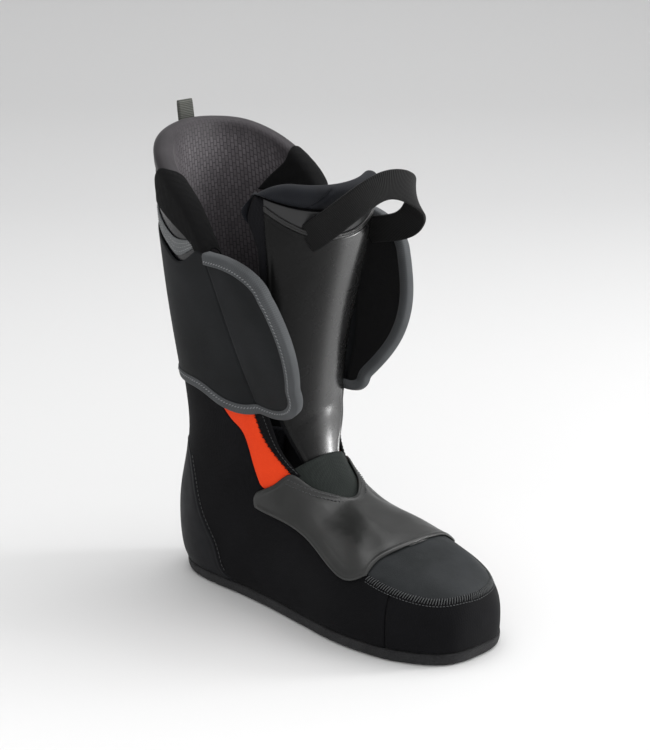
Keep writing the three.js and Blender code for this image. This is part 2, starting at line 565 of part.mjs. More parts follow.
const bandPlace = (column, low, high) => (s, t) => {
  const across = column(s);
  return [across, mix(low(across), high(across), t)];
};
const PIECE_GAP = 0.04;         // between two pieces of the tongue, in rings
const PLATE_BASE = 0.6;         // the plate and panels stand this far off the padding
const PIPING_HEIGHT = 2.6;
const PIPING_RINGS = 0.09;
const RIM_ROLL = 1.5;           // the rim's padding stands this far proud
const plateTop = PLATE_BASE + SHIN_PLATE;
const pipingTop = s => pipingRing(s) + PIPING_RINGS;
add('tongue_foam', block(tongue, bandPlace(tongueColumn, () => TONGUE_BOTTOM,
  s => rimRing(s) - PIECE_GAP), -TONGUE, 0, 9, 8), 0x2c2c2f, 0.9);
add('tongue_shin_plate', block(tongue, bandPlace(plateColumn, () => TONGUE_BOTTOM + 0.2,
  s => pipingRing(s) - PIECE_GAP), PLATE_BASE, plateTop, 9, 8), BLACK, 0.25);
add('tongue_piping', block(tongue, bandPlace(plateColumn, pipingRing, pipingTop),
  PLATE_BASE, PLATE_BASE + PIPING_HEIGHT, 1, 8), 0x101012, 0.6);
add('tongue_top_panel', block(tongue, bandPlace(plateColumn, s => pipingTop(s) + PIECE_GAP,
  s => Math.max(rimRing(s), pipingRing(s) + 0.2) - PIECE_GAP), PLATE_BASE, plateTop, 2, 8), CHARCOAL, 0.45);
add('tongue_rim', block(tongue, bandPlace(tongueColumn, rimRing, tongueTop), -TONGUE, RIM_ROLL, 2, 8),
  0x20242b, 0.8);

// ---- Pull loop of the tongue and tab at the back of the collar ----------------------------------

const LOOP_STAND = 3.4;         // the webbing's ends lie over the piping
const anchorOuter = tongue(-0.5, 17.62, LOOP_STAND + LOOP_THICKNESS / 2);
const anchorInner = tongue(0.9, 17.3, LOOP_STAND + LOOP_THICKNESS / 2);
// How the loop stands off the line between its anchors: share along it, forward, up.
const LOOP_BOW = [[0.22, 25, 24], [0.48, 39.7, 38.5], [0.77, 47.7, 37.4], [0.99, 46, 25], [1.09, 31, 8.5]];
const bowed = LOOP_BOW.map(([share, forward, up]) => anchorOuter.clone().lerp(anchorInner, share)
  .add(new THREE.Vector3(0, -forward, up)));
const loopPath = new THREE.CatmullRomCurve3([anchorOuter, ...bowed, anchorInner]);
const loopUp = new THREE.Vector3(-0.35, 0, 1);
function loopPoint(s, t, depth) {
  const p = loopPath.getPoint(t);
  const run = loopPath.getTangent(t);
  const across = loopUp.clone().addScaledVector(run, -loopUp.dot(run)).normalize();
  const out = run.clone().cross(across);
  return p.addScaledVector(across, LOOP_WIDTH * (s - 0.5)).addScaledVector(out, depth);
}
add('pull_loop', block(loopPoint, (s, t) => [s, mix(0.03, 0.97, t)], -LOOP_THICKNESS / 2,
  LOOP_THICKNESS / 2, 18, 1), CHARCOAL, 0.9);

const tabHalf = 90 * TAB_WIDTH / CUFF_WIDTH / 2;
const tabPlace = (low, high) => (s, t) => [mix(low, high, t), 180 + tabHalf * mix(-1, 1, s)];
const RIM_RING = 18.75;         // the collar's rim at the back
const RING_RISE = 30;           // height of one ring there
const tabTop = RIM_RING + TAB_HEIGHT / RING_RISE;
const tabBlock = (low, high) => block(last, tabPlace(low, high), bandIn, bandIn + TAB_THICKNESS, 3, 2);
add('rear_tab_anchor', tabBlock(18.1, RIM_RING - 0.03), GREY, 0.9);
add('rear_pull_tab', tabBlock(RIM_RING, tabTop), GREY, 0.9);

export default liner;
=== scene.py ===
import math
import bmesh
import bpy
import numpy as np
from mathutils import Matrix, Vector
from mathutils.kdtree import KDTree


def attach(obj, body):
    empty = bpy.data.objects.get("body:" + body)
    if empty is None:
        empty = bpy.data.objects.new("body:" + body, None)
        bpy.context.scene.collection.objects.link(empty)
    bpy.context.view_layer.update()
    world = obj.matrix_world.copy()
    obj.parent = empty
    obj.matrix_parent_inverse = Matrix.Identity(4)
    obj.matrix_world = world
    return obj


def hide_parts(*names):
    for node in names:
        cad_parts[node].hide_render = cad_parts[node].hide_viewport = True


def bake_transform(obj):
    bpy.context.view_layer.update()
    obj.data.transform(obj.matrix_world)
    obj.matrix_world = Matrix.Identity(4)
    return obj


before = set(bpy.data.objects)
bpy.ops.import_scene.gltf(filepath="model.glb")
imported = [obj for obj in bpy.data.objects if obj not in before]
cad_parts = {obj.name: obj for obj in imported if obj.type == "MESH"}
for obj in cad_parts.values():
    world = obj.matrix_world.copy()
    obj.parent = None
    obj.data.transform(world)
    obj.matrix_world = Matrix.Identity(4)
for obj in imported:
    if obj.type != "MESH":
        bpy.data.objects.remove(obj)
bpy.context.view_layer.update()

# ---- Sole -------------------------------------------------------------------------------------
# The boot is pulled over a last, and every layer follows that form. Under it lies a sole of pressed
# grey felt, cut to the outline of the last, glued on, and left with a slightly furry edge.

MM = 0.001
SOLE_TOP = 8.0
GAP = 0.3
# Each ring of the last: front (forward, up), back (forward, up), half width, sideways shift,
# where it is widest, squareness of its front and of its back.
LAST = [
    (199, 27, 199, 22, 2, 3, .50, 2.2, 2.2), (197, 38, 197, 6, 17, 3, .50, 2.2, 2.6),
    (191, 46, 191, -4, 28, 3, .55, 2.2, 3.2), (179, 53, 179, -6, 38, 3, .60, 2.3, 3.6),
    (161, 60, 161, -6, 45.5, 2, .62, 2.4, 3.8), (140, 66, 140, -6, 49, 1, .62, 2.4, 3.8),
    (112, 73, 112, -6, 49, 0, .62, 2.4, 3.8), (90, 79, 78, -6, 45, 0, .62, 2.4, 3.8),
    (76, 88, 40, -6, 41, 0, .60, 2.4, 3.6), (67, 98, 0, -6, 39, 0, .58, 2.4, 3.4),
    (62, 109, -44, -6, 39, 0, .55, 2.4, 3.0), (59, 121, -67, 18, 40, 0, .52, 2.5, 2.5),
    (58, 133, -64, 58, 42, 0, .50, 2.6, 2.5), (58, 147, -54, 96, 44, 0, .50, 2.7, 2.5),
    (60, 165, -51, 130, 47, 0, .50, 2.8, 2.6), (64, 188, -54, 168, 52, 0, .50, 2.9, 2.7),
    (70, 215, -59, 210, 57, 0, .50, 3.0, 2.7), (77, 243, -65, 255, 62, 0, .50, 3.0, 2.5),
    (82, 265, -70, 295, 65, 0, .50, 3.0, 2.35), (86, 283, -74, 325, 66, 0, .50, 3.0, 2.3),
    (89.6, 303.6, -77.9, 357.6, 66.9, 0, .50, 3.0, 2.3), (93.3, 324, -81.8, 390.3, 67.8, 0, .50, 3.0, 2.3),
]


def curve_through(points, place):
    """A smooth curve through equally spaced points, at a place counted in points."""
    points = np.asarray(points, float)
    n = len(points)
    if n == 2:
        t = np.asarray(place, float)[..., None]
        return points[0] * (1 - t) + points[1] * t
    pull = np.eye(n)
    bend = np.zeros_like(points)
    for i in range(1, n - 1):
        pull[i, i - 1:i + 2] = (1, 4, 1)
        bend[i] = 6 * (points[i + 1] - 2 * points[i] + points[i - 1])
    m = np.linalg.solve(pull, bend)
    place = np.asarray(place, float)
    i = np.clip(np.floor(place).astype(int), 0, n - 2)
    t = (place - i)[..., None]
    a = 1 - t
    return a * points[i] + t * points[i + 1] + ((a ** 3 - a) * m[i] + (t ** 3 - t) * m[i + 1]) / 6


def along(edge, share):
    return curve_through(edge, np.asarray(share, float) * (len(edge) - 1))


def run_of(line):
    """How far along a line each of its points lies."""
    return np.concatenate([[0], np.cumsum(np.linalg.norm(np.diff(line, axis=0), axis=1))])


def points_at(far, run, line):
    """Points at given distances along a line, whose own points lie at the distances in run."""
    return np.stack([np.interp(far, run, column) for column in line.T], -1)


def unit(vectors):
    return vectors / np.maximum(np.linalg.norm(vectors, axis=-1, keepdims=True), 1e-9)


def last_form(ring, angle):
    """A point of the last. Angle 0 is the front or top, 90 the outer side, 180 the back or sole."""
    ring, angle = np.broadcast_arrays(np.asarray(ring, float), np.asarray(angle, float))
    r = curve_through(LAST, ring)
    c, s = np.cos(np.radians(angle)), np.sin(np.radians(angle))
    n = r[..., 7] + (r[..., 8] - r[..., 7]) * (1 - c) / 2
    reach = (np.abs(c) ** n + np.abs(s) ** n) ** (-1 / n)
    wide = r[..., 6]
    share = np.where(c > 0, wide * (1 - reach * c), wide - (1 - wide) * reach * c)
    x = r[..., 5] - np.maximum(r[..., 4], 0.0) * reach * s
    return np.stack([x, -(r[..., 0] + (r[..., 2] - r[..., 0]) * share),
                     r[..., 1] + (r[..., 3] - r[..., 1]) * share], -1)


def thick(form, outward=1.0, da=0.02, db=0.4):
    """The same form with a depth: steps off it along its normal."""
    def deep(a, b, depth=0.0):
        a, b = np.broadcast_arrays(np.asarray(a, float), np.asarray(b, float))
        n = unit(np.cross(form(a + da, b) - form(a - da, b), form(a, b + db) - form(a, b - db)))
        return form(a, b) + n * outward * np.asarray(depth, float)[..., None]
    return deep


last = thick(last_form)


def mesh_piece(name, points, faces, uv, material):
    """One object from points in millimetres, with the place of each point on the flat cloth."""
    mesh = bpy.data.meshes.new(name)
    mesh.from_pydata((np.asarray(points) * MM).tolist(), [], [list(map(int, f)) for f in faces])
    if uv is not None:
        layer = mesh.uv_layers.new(name="UVMap")
        corner = np.zeros(len(mesh.loops), np.int32)
        mesh.loops.foreach_get("vertex_index", corner)
        layer.data.foreach_set("uv", (np.asarray(uv)[corner] * MM).astype(np.float32).ravel())
    mesh.validate()
    mesh.polygons.foreach_set("use_smooth", [True] * len(mesh.polygons))
    mesh.materials.append(material)
    piece = bpy.data.objects.new(name, mesh)
    bpy.context.scene.collection.objects.link(piece)
    return piece


def grid_faces(rows, columns, around=False):
    """The quads of a grid of points, row by row, joined round if asked."""
    j, i = np.meshgrid(np.arange(rows - 1), np.arange(columns if around else columns - 1), indexing="ij")
    k = (i + 1) % columns
    a = j * columns
    return np.stack([a + i, a + k, a + columns + k, a + columns + i], -1).reshape(-1, 4)


def tube_faces(rows, columns):
    """The faces of a tube of rows of points, closed at both ends."""
    first, final = list(range(columns)), [(rows - 1) * columns + k for k in range(columns)]
    return grid_faces(rows, columns, True).tolist() + [first[::-1], final]


def node(tree, kind, values=None, **settings):
    """One shader node, with its inputs by name or number: a value, or a socket to link."""
    made = tree.nodes.new(kind)
    for key, value in settings.items():
        setattr(made, key, value)
    for key, value in (values or {}).items():
        socket = made.inputs[key]
        if isinstance(value, bpy.types.NodeSocket):
            tree.links.new(value, socket)
        else:
            socket.default_value = value
    return made


def maths(tree, operation, a, b=0.0, c=0.0):
    return node(tree, "ShaderNodeMath", {0: a, 1: b, 2: c}, operation=operation).outputs[0]


SMOOTH_BELOW, SMOOTH_SHINE, ROUGH_SHINE = 0.45, 0.5, 0.16


def new_finish(name, roughness, **sockets):
    """A material with its tree and its shader. Smooth finishes shine more than rough ones."""
    material = bpy.data.materials.new(name)
    material.use_nodes = True
    tree = material.node_tree
    shader = tree.nodes["Principled BSDF"]
    shader.inputs["Roughness"].default_value = roughness
    shine = SMOOTH_SHINE if roughness < SMOOTH_BELOW else ROUGH_SHINE
    shader.inputs["Specular IOR Level"].default_value = shine
    for key, value in sockets.items():
        shader.inputs[key.replace("_", " ")].default_value = value
    return material, tree, shader


def grain(tree, scale, detail, rough=0.55):
    """Cloudy noise, at a scale per metre."""
    where = node(tree, "ShaderNodeTexCoord").outputs["Object"]
    return node(tree, "ShaderNodeTexNoise",
                {"Vector": where, "Scale": scale, "Detail": detail, "Roughness": rough}).outputs[0]


def mixed(tree, first, share, second):
    """Two values mixed, with a share of the first."""
    return maths(tree, "ADD", maths(tree, "MULTIPLY", first, share),
                 maths(tree, "MULTIPLY", second, 1 - share))


def cloth_place(tree):
    """The place on the flat cloth in metres: across it, up it."""
    where = node(tree, "ShaderNodeTexCoord").outputs["UV"]
    return node(tree, "ShaderNodeSeparateXYZ", {0: where}).outputs


def tint(tree, shader, value, stops):
    """The finish's colour: stops of colour over a value from 0 to 1."""
    made = node(tree, "ShaderNodeValToRGB", {0: value})
    for k, (place, colour) in enumerate(stops):
        stop = made.color_ramp.elements[k] if k < 2 else made.color_ramp.elements.new(place)
        stop.position, stop.color = place, (*colour, 1)
    tree.links.new(made.outputs[0], shader.inputs["Base Color"])


def bump(tree, shader, height, distance, strength=1.0, after=None):
    """Fine relief on a finish, over an earlier one where it is given."""
    values = {"Height": height, "Distance": distance, "Strength": strength}
    if after is not None:
        values["Normal"] = after
    made = node(tree, "ShaderNodeBump", values).outputs[0]
    tree.links.new(made, shader.inputs["Normal"])
    return made


def felt_finish():
    material, tree, shader = new_finish("pressed_felt", 0.97, Sheen_Weight=0.08, Sheen_Roughness=0.6)
    fibres = grain(tree, 900, 6, 0.75)
    clouds = grain(tree, 60, 3)
    tone = mixed(tree, fibres, 0.6, clouds)
    tint(tree, shader, tone, [(0.3, (.006, .006, .007)), (0.7, (.036, .036, .038))])
    bump(tree, shader, fibres, 0.0009)
    return material


HALVINGS = 40


def outline_of(height, depth, count=120):
    """The last's outline at a height, round from the toe along the outer side and back."""
    def angle_at(ring, low, high):
        for _ in range(HALVINGS):
            middle = (low + high) / 2
            above = last(ring, middle, depth)[..., 2] > height
            low, high = np.where(above, middle, low), np.where(above, high, middle)
        return (low + high) / 2

    def end_ring(low, high, rising):
        for _ in range(HALVINGS):
            middle = (low + high) / 2
            above = float(last(middle, 180.0, depth)[2]) > height
            low, high = (middle, high) if above != rising else (low, middle)
        return (low + high) / 2
    toe, heel = end_ring(0.1, 3.0, False), end_ring(10.0, 12.0, True)
    rings = toe + (heel - toe) * (1 - np.cos(np.pi * np.linspace(0, 1, count))) / 2
    angles = angle_at(rings, np.full(count, 60.0), np.full(count, 180.0))
    outer = last(rings, angles, depth)
    inner = last(rings, 360 - angles, depth)
    loop = np.concatenate([outer, inner[::-1][1:-1]])
    closed = np.concatenate([loop, loop[:1]])
    run = run_of(closed)
    return points_at(np.linspace(0, run[-1], 3 * count, endpoint=False), run, closed)


PLATE_RINGS = (0.06, 0.3, 0.6, 0.85)


def plate(name, loop, profile, material, top_dish=0.0, fuzz=0.0, seed=0):
    """A cut plate: the outline carried up a profile of (height, drawn in), closed above and below."""
    rng = np.random.default_rng(seed)
    spine = np.clip(loop[:, 1], loop[:, 1].min() + 38, loop[:, 1].max() - 34)
    centre_line = np.stack([loop[:, 0] * 0.12, spine, loop[:, 2]], -1)
    inward = centre_line - loop
    inward[:, 2] = 0
    inward = unit(inward)
    wander = np.convolve(np.tile(rng.normal(0, 1, len(loop)), 3), np.ones(5) / 5, "same")
    wander = wander[len(loop):2 * len(loop)]
    rows = []
    for share in PLATE_RINGS:
        rows.append(centre_line * (1 - share) + loop * share)
        rows[-1][:, 2] = profile[0][0]
    for k, (height, drawn) in enumerate(profile):
        row = loop + inward * (drawn + fuzz * wander[:, None] * (0.4 + 0.6 * (k % 2)))
        row[:, 2] = height
        rows.append(row)
    for share in PLATE_RINGS[::-1]:
        row = centre_line * (1 - share) + loop * share
        row[:, 2] = profile[-1][0] - top_dish * (1 - share ** 3)
        rows.append(row)
    points = np.concatenate(rows)
    return mesh_piece(name, points, tube_faces(len(rows), len(loop)), points[:, :2], material)


sole = plate("felt_sole", outline_of(7.6, 0.9), [
    (0.0, 6.0), (0.05, 3.2), (0.7, 1.9), (1.8, 1.0), (3.2, 0.55), (4.8, 0.3), (6.3, 0.1), (7.3, 0.1),
    (7.8, 0.5), (SOLE_TOP, 1.3), (SOLE_TOP, 3.0)], felt_finish(), fuzz=0.3, seed=3)
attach(sole, "foot")
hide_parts("outsole")

# ---- Lasting board and footbed ----------------------------------------------------------------
# A thin fibre board stiffens the bottom of the boot. A loose footbed of moulded foam lies on it,
# faced with dark brushed cloth and dished under the heel.

BOARD_TOP = 10.5
FOOTBED = 4.0
FOAM_IN = -9.0


def fibre_board_finish():
    material, tree, shader = new_finish("fibre_board", 0.85)
    specks = grain(tree, 350, 5, 0.7)
    tint(tree, shader, specks, [(0.35, (.12, .10, .08)), (0.7, (.26, .23, .19))])
    bump(tree, shader, specks, 0.0004)
    return material


def brushed_finish():
    material, tree, shader = new_finish("brushed_footbed", 0.95, Sheen_Weight=0.08)
    nap = grain(tree, 700, 5, 0.7)
    tint(tree, shader, nap, [(0.3, (.012, .013, .017)), (0.75, (.045, .047, .056))])
    bump(tree, shader, nap, 0.0005)
    return material


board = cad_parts["lasting_board"]
board.data.materials.clear()
board.data.materials.append(fibre_board_finish())
footbed = plate("footbed_pad", outline_of(14.0, FOAM_IN - 0.5), [
    (BOARD_TOP + GAP, 1.2), (BOARD_TOP + 0.9, 0.2), (BOARD_TOP + 2.6, 0.0), (BOARD_TOP + 3.9, 0.3),
    (BOARD_TOP + GAP + FOOTBED, 1.1), (BOARD_TOP + GAP + FOOTBED, 3.0)], brushed_finish(), top_dish=1.2)
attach(footbed, "foot")
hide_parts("footbed")

# ---- Foam shell -------------------------------------------------------------------------------
# Heat-moulded foam carries the whole boot, from the toe to the collar. It is open down the front
# and bends at the ankle. Its inner face is bonded to a dark sock fabric.

FOAM_OUT = -2.3
THROAT = [[0.2, 0], [2, 0], [4, 0], [6, 0], [7.3, 3], [7.9, 19], [8.7, 30], [9.8, 38], [11, 43], [12.2, 48],
          [13.35, 54], [14.1, 60.5], [15.15, 68.5], [16.1, 77.5], [16.95, 86], [17.2, 90.5], [17.45, 96]]


def inner_side(edge):
    return [[ring, -angle] for ring, angle in edge]


def round_back(edge):
    return [[ring, 360 - angle] for ring, angle in edge]


def over_front(edge):
    return edge + inner_side(edge)[::-1]


def over_back(edge):
    return edge + round_back(edge)[::-1]


TIP = 0.13


def to_flat(edge):
    """Places near the toe's tip, as points of a disc round it."""
    edge = np.asarray(edge, float)
    r, a = edge[..., 0] + TIP, np.radians(edge[..., 1])
    return np.stack([r * np.cos(a), r * np.sin(a)], -1)


def from_flat(points):
    return (np.hypot(points[..., 0], points[..., 1]) - TIP,
            np.degrees(np.arctan2(points[..., 1], points[..., 0])))


def patch(left, right, bottom=None, top=None, round_tip=False):
    """A patch inside four edges. Bottom and top run left to right, left and right run upwards."""
    sides = [left, right, bottom or [left[0], right[0]], top or [left[-1], right[-1]]]
    if round_tip:
        sides = [to_flat(side) for side in sides]
    left, right, bottom, top = [np.asarray(side, float) for side in sides]

    def place(s, t):
        a, b = s[..., None], t[..., None]
        corners = (bottom[0] * (1 - a) + bottom[-1] * a) * (1 - b) + (top[0] * (1 - a) + top[-1] * a) * b
        p = (along(left, t) * (1 - a) + along(right, t) * a + along(bottom, s) * (1 - b)
             + along(top, s) * b - corners)
        return from_flat(p) if round_tip else (p[..., 0], p[..., 1])
    return place


def spread(count, tight=0.55):
    """Shares from 0 to 1, closer together near both ends."""
    t = np.linspace(0, 1, count)
    return t * (1 - tight) + tight * (1 - np.cos(np.pi * t)) / 2


def boundary_of(faces):
    """The open edges of a sheet, in the direction that its faces run."""
    seen = {}
    for f in faces:
        for a, b in zip(f, (*f[1:], f[0])):
            seen[(a, b)] = True
    return [(a, b) for a, b in seen if (b, a) not in seen]


def sheet_piece(name, form, place, columns, rows, low, high, material, roll=1.6, cuts=(), relief=None,
                tight=0.55, keep_back=None, drop=0.85):
    """A cut panel of cloth, leather or foam over a form, between two depths, with rolled edges.
    Cuts are planes: a point and the direction that is cut away. Relief adds to the face's depth, and
    keep_back hands a share of it on to the back. Drop says how nearly the faces meet at the edge."""
    s, t = np.meshgrid(spread(columns, tight), spread(rows, tight))
    a, b = place(s, t)
    base = form(a, b, np.full(a.shape, float(high)))
    reach = np.cumsum(np.linalg.norm(np.diff(base, axis=1), axis=2), 1)
    u = np.concatenate([np.zeros((rows, 1)), reach], 1)
    u -= u[:, columns // 2:columns // 2 + 1]
    climb = np.cumsum(np.linalg.norm(np.diff(base, axis=0), axis=2), 0)
    v = np.concatenate([np.zeros((1, columns)), climb], 0)
    data = np.stack([a, b, u, v, s, t], -1).reshape(-1, 6)
    faces = grid_faces(rows, columns)
    if cuts:
        bm = bmesh.new()
        stores = [bm.verts.layers.float.new(k) for k in "abuvst"]
        made = [bm.verts.new(p) for p in base.reshape(-1, 3)]
        for vertex, row in zip(made, data):
            for store, value in zip(stores, row):
                vertex[store] = value
        for f in faces:
            bm.faces.new([made[k] for k in f])
        for point, away in cuts:
            bmesh.ops.bisect_plane(bm, geom=bm.verts[:] + bm.edges[:] + bm.faces[:], plane_co=point,
                                   plane_no=away, clear_outer=True, dist=1e-5)
        bmesh.ops.remove_doubles(bm, verts=bm.verts[:], dist=0.02)
        bm.verts.index_update()
        data = np.array([[vertex[store] for store in stores] for vertex in bm.verts])
        base = np.array([vertex.co[:] for vertex in bm.verts])
        faces = [[vertex.index for vertex in f.verts] for f in bm.faces]
        bm.free()
    else:
        base = base.reshape(-1, 3)
        faces = faces.tolist()
    a, b, u, v, s, t = data.T
    rim = boundary_of(faces)
    tree = KDTree(3 * len(rim))
    for k, (p, q) in enumerate(rim):
        for share in (0, 0.34, 0.67):
            tree.insert(Vector(base[p] * (1 - share) + base[q] * share), 3 * k)
    tree.balance()
    away = np.array([tree.find(Vector(p))[2] for p in base])
    fall = np.clip(1 - away / roll, 0, 1)
    round_off = 1 - np.sqrt(np.maximum(1 - fall ** 2, 0))
    half = (high - low) / 2
    face = high - round_off * half * drop
    back = low + round_off * half * drop
    if relief is not None:
        extra = relief(a, b, u, v, away, s, t)
        face = face + extra
        if keep_back is not None:
            back = back + extra * keep_back
    points = np.concatenate([form(a, b, face), form(a, b, back)])
    n = len(a)
    whole = [list(f) for f in faces] + [[k + n for k in f[::-1]] for f in faces]
    whole += [[q, p, p + n, q + n] for p, q in rim]
    first = faces[0]
    corner = points[first[:3]]
    facing = np.cross(corner[1] - corner[0], corner[2] - corner[0])
    if facing @ (points[first[0]] - points[first[0] + n]) < 0:
        whole = [f[::-1] for f in whole]
    uv = np.stack([u, v], -1)
    return mesh_piece(name, points, whole, np.concatenate([uv, uv]), material)


def bend_at_ankle(piece):
    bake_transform(piece)


def sock_finish():
    material, tree, shader = new_finish("sock_fabric", 0.9, Sheen_Weight=0.02)
    where = node(tree, "ShaderNodeTexCoord").outputs["UV"]
    ribs = node(tree, "ShaderNodeTexWave", {"Vector": where, "Scale": 330, "Distortion": 0.6, "Detail": 1.0})
    tint(tree, shader, ribs.outputs["Fac"], [(0.2, (.010, .010, .012)), (0.9, (.026, .026, .030))])
    bump(tree, shader, ribs.outputs["Fac"], 0.0003)
    return material


floor_cut = ((0, 0, SOLE_TOP + GAP), (0, 0, -1))
rim_low = over_back([[17.45, 96], [17.8, 108], [18.15, 128], [18.35, 150], [18.4, 172]])
shell = sheet_piece("foam_shell", last, patch(THROAT, round_back(THROAT), top=rim_low), 110, 150,
                    FOAM_IN, FOAM_OUT, sock_finish(), roll=4.0, cuts=[floor_cut], tight=0.2)
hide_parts("foot_shell", "cuff_shell")
bend_at_ankle(shell)

# ---- Ankle pads -------------------------------------------------------------------------------
# Two soft foam pads inside the shell hold the heel down. They are glued in behind the ankle bones,
# thick in the middle and skived thin at the edges.

ANKLE_LEFT = [[11, 128], [11.9, 124], [12.7, 118]]
ANKLE_RIGHT = [[10.9, 84], [11.6, 96], [12.3, 96]]


def pad_swell(a, b, u, v, away, s, t):
    return -2.4 * np.sqrt(np.clip(away / 16, 0, 1))


pad_foam = brushed_finish()
for side, turn in (("lateral", list), ("medial", inner_side)):
    ankle_pad = sheet_piece(f"{side}_ankle_pad", last, patch(turn(ANKLE_LEFT), turn(ANKLE_RIGHT)), 40, 30,
                            -12.4, -9.8, pad_foam, roll=2.0, relief=pad_swell)
    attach(ankle_pad, "foot")
    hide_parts(f"{side}_ankle_pad")

# ---- Side skins -------------------------------------------------------------------------------
# One panel of stretch cloth over foam backing covers each side, from the toe seam to the heel and
# up under the cuff's wrap. The two meet in a seam down the back, and the heel panel lies on them.

HEEL_SEAM = [[8.9, 128], [9.5, 118], [10.12, 104], [11.17, 106], [12.0, 113], [12.53, 120]]
HEEL_TOP = [[12.53, 120], [12.95, 132], [13.1, 150], [13.1, 172]]
SKIN_FRONT = [[3.9, 44], [5.04, 42], [5.8, 45], [6.4, 43], [7.39, 41], [8.69, 45], [9.55, 50.5],
              [10.25, 57.5], [10.97, 59], [12.37, 65.5], [13.1, 76.5], [13.95, 91]]
TOE_SEAM = -158.0


def stretch_finish(name, low, high, roughness=0.82, ribbed=420, sheen=0.02):
    """Fine knitted stretch cloth: rows of small loops, and slow changes of tone."""
    material, tree, shader = new_finish(name, roughness, Sheen_Weight=sheen, Sheen_Roughness=0.4)
    place = cloth_place(tree)
    rows = maths(tree, "SINE", maths(tree, "MULTIPLY", place[1], ribbed * math.tau))
    shifted = maths(tree, "MULTIPLY", rows, 0.9)
    loops = maths(tree, "SINE", maths(tree, "ADD", maths(tree, "MULTIPLY", place[0], ribbed * 8.8), shifted))
    knit = maths(tree, "MULTIPLY_ADD", maths(tree, "MULTIPLY", rows, loops), 0.5, 0.5)
    clouds = grain(tree, 26, 4)
    tint(tree, shader, mixed(tree, clouds, 0.7, knit), [(0.3, low), (0.7, high)])
    soft = bump(tree, shader, clouds, 0.0012, 0.6)
    bump(tree, shader, knit, 0.00012, 0.7, soft)
    return material


def inside_by(edge_places, a, b, points):
    """How far inside a closed outline on the last each place lies, in millimetres, or 0 outside it."""
    ring = np.asarray(edge_places, float)
    inside = np.zeros(len(a), bool)
    j = len(ring) - 1
    for i in range(len(ring)):
        (ri, ai), (rj, aj) = ring[i], ring[j]
        crosses = (ai > b) != (aj > b)
        at = (rj - ri) * (b - ai) / (aj - ai if abs(aj - ai) > 1e-9 else 1e-9) + ri
        inside ^= crosses & (a < at)
        j = i
    line = last(ring[:, 0], ring[:, 1], 0.0)
    gap = np.full(len(a), 1e9)
    for k in range(len(line)):
        p, q = line[k], line[(k + 1) % len(line)]
        d = q - p
        share = np.clip(((points - p) @ d) / max(d @ d, 1e-9), 0, 1)
        gap = np.minimum(gap, np.linalg.norm(points - (p + share[:, None] * d), axis=1))
    return np.where(inside, gap, 0.0)


def fine(edge, count=60):
    return along(edge, np.linspace(0, 1, count)).tolist()


heel_outline = fine(HEEL_SEAM) + fine(over_back(HEEL_TOP)) + fine(round_back(HEEL_SEAM)[::-1])
heel_outline += [[7.0, 200], [7.0, 160]]


def side_relief(a, b, u, v, away, s, t):
    points = last(a, b, 0.0)
    turned = np.where(b < 0, b + 360, b)
    under_heel = inside_by(heel_outline, a, turned, points)
    waves = 0.35 * np.sin(points[:, 2] * 0.11 + points[:, 1] * 0.05) * np.sin(points[:, 1] * 0.07 + 1.0)
    return waves * np.clip(away / 12, 0, 1) - 1.25 * np.clip((under_heel - 0.5) / 2.0, 0, 1)


black_stretch = stretch_finish("black_stretch", (.0012, .0012, .0018), (.0035, .0035, .0048))
SIDES = {"lateral": list, "medial": inner_side}
SKIN_BACK = [[3.9, 180], [14.9, 180]]
SKIN_TOP = [[13.95, 91], [14.45, 112], [14.8, 145], [14.9, 180]]
for side, place_on in SIDES.items():
    skin = sheet_piece(
        f"{side}_skin", last, patch(place_on(SKIN_FRONT), place_on(SKIN_BACK), top=place_on(SKIN_TOP)),
        96, 170, -2.0, 0.0, black_stretch, roll=1.7, relief=side_relief, tight=0.35,
        cuts=[floor_cut, ((0, TOE_SEAM + GAP / 2, 0), (0, -1, 0))])
    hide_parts(f"{side}_quarter", f"{side}_ankle_skin")
    bend_at_ankle(skin)

# ---- Toe band and toe cap ---------------------------------------------------------------------
# A band of the same stretch cloth runs round the toe. A cap of matt synthetic leather closes the
# top of the toe, and a thick whip stitch joins the two edge to edge.

STITCH_LINE = [[5.04, 52], [4.03, 52.5], [2.54, 44], [1.65, 16]]
OVERLAY_TOE = [[5.04, 51], [5.0, 35], [4.85, 16]]


def leather_finish(name, low, high, roughness=0.5, pores=1100, depth=0.00018, **sockets):
    """Coated synthetic leather: fine pebbles, cloudy tone, and gloss that varies with handling."""
    material, tree, shader = new_finish(name, roughness, **sockets)
    where = node(tree, "ShaderNodeTexCoord").outputs["Object"]
    cells = node(tree, "ShaderNodeTexVoronoi", {"Vector": where, "Scale": pores},
                 feature="F1").outputs["Distance"]
    clouds = grain(tree, 34, 5)
    tint(tree, shader, clouds, [(0.3, low), (0.72, high)])
    gloss = maths(tree, "MULTIPLY_ADD", grain(tree, 120, 3), 0.18, roughness - 0.09)
    tree.links.new(gloss, shader.inputs["Roughness"])
    bump(tree, shader, cells, depth, 0.5, bump(tree, shader, clouds, 0.0009, 0.35))
    return material


def thread_finish(name, colour, roughness=0.55):
    material, tree, shader = new_finish(name, roughness, Sheen_Weight=0.04)
    twist = grain(tree, 2600, 2)
    dark = tuple(c * 0.55 for c in colour)
    tint(tree, shader, twist, [(0.35, dark), (0.7, colour)])
    bump(tree, shader, twist, 0.0002)
    return material


THREAD_PROFILE = ((-1.0, 0.35), (-0.72, 0.85), (0.0, 1.0), (0.72, 0.85), (1.0, 0.35))


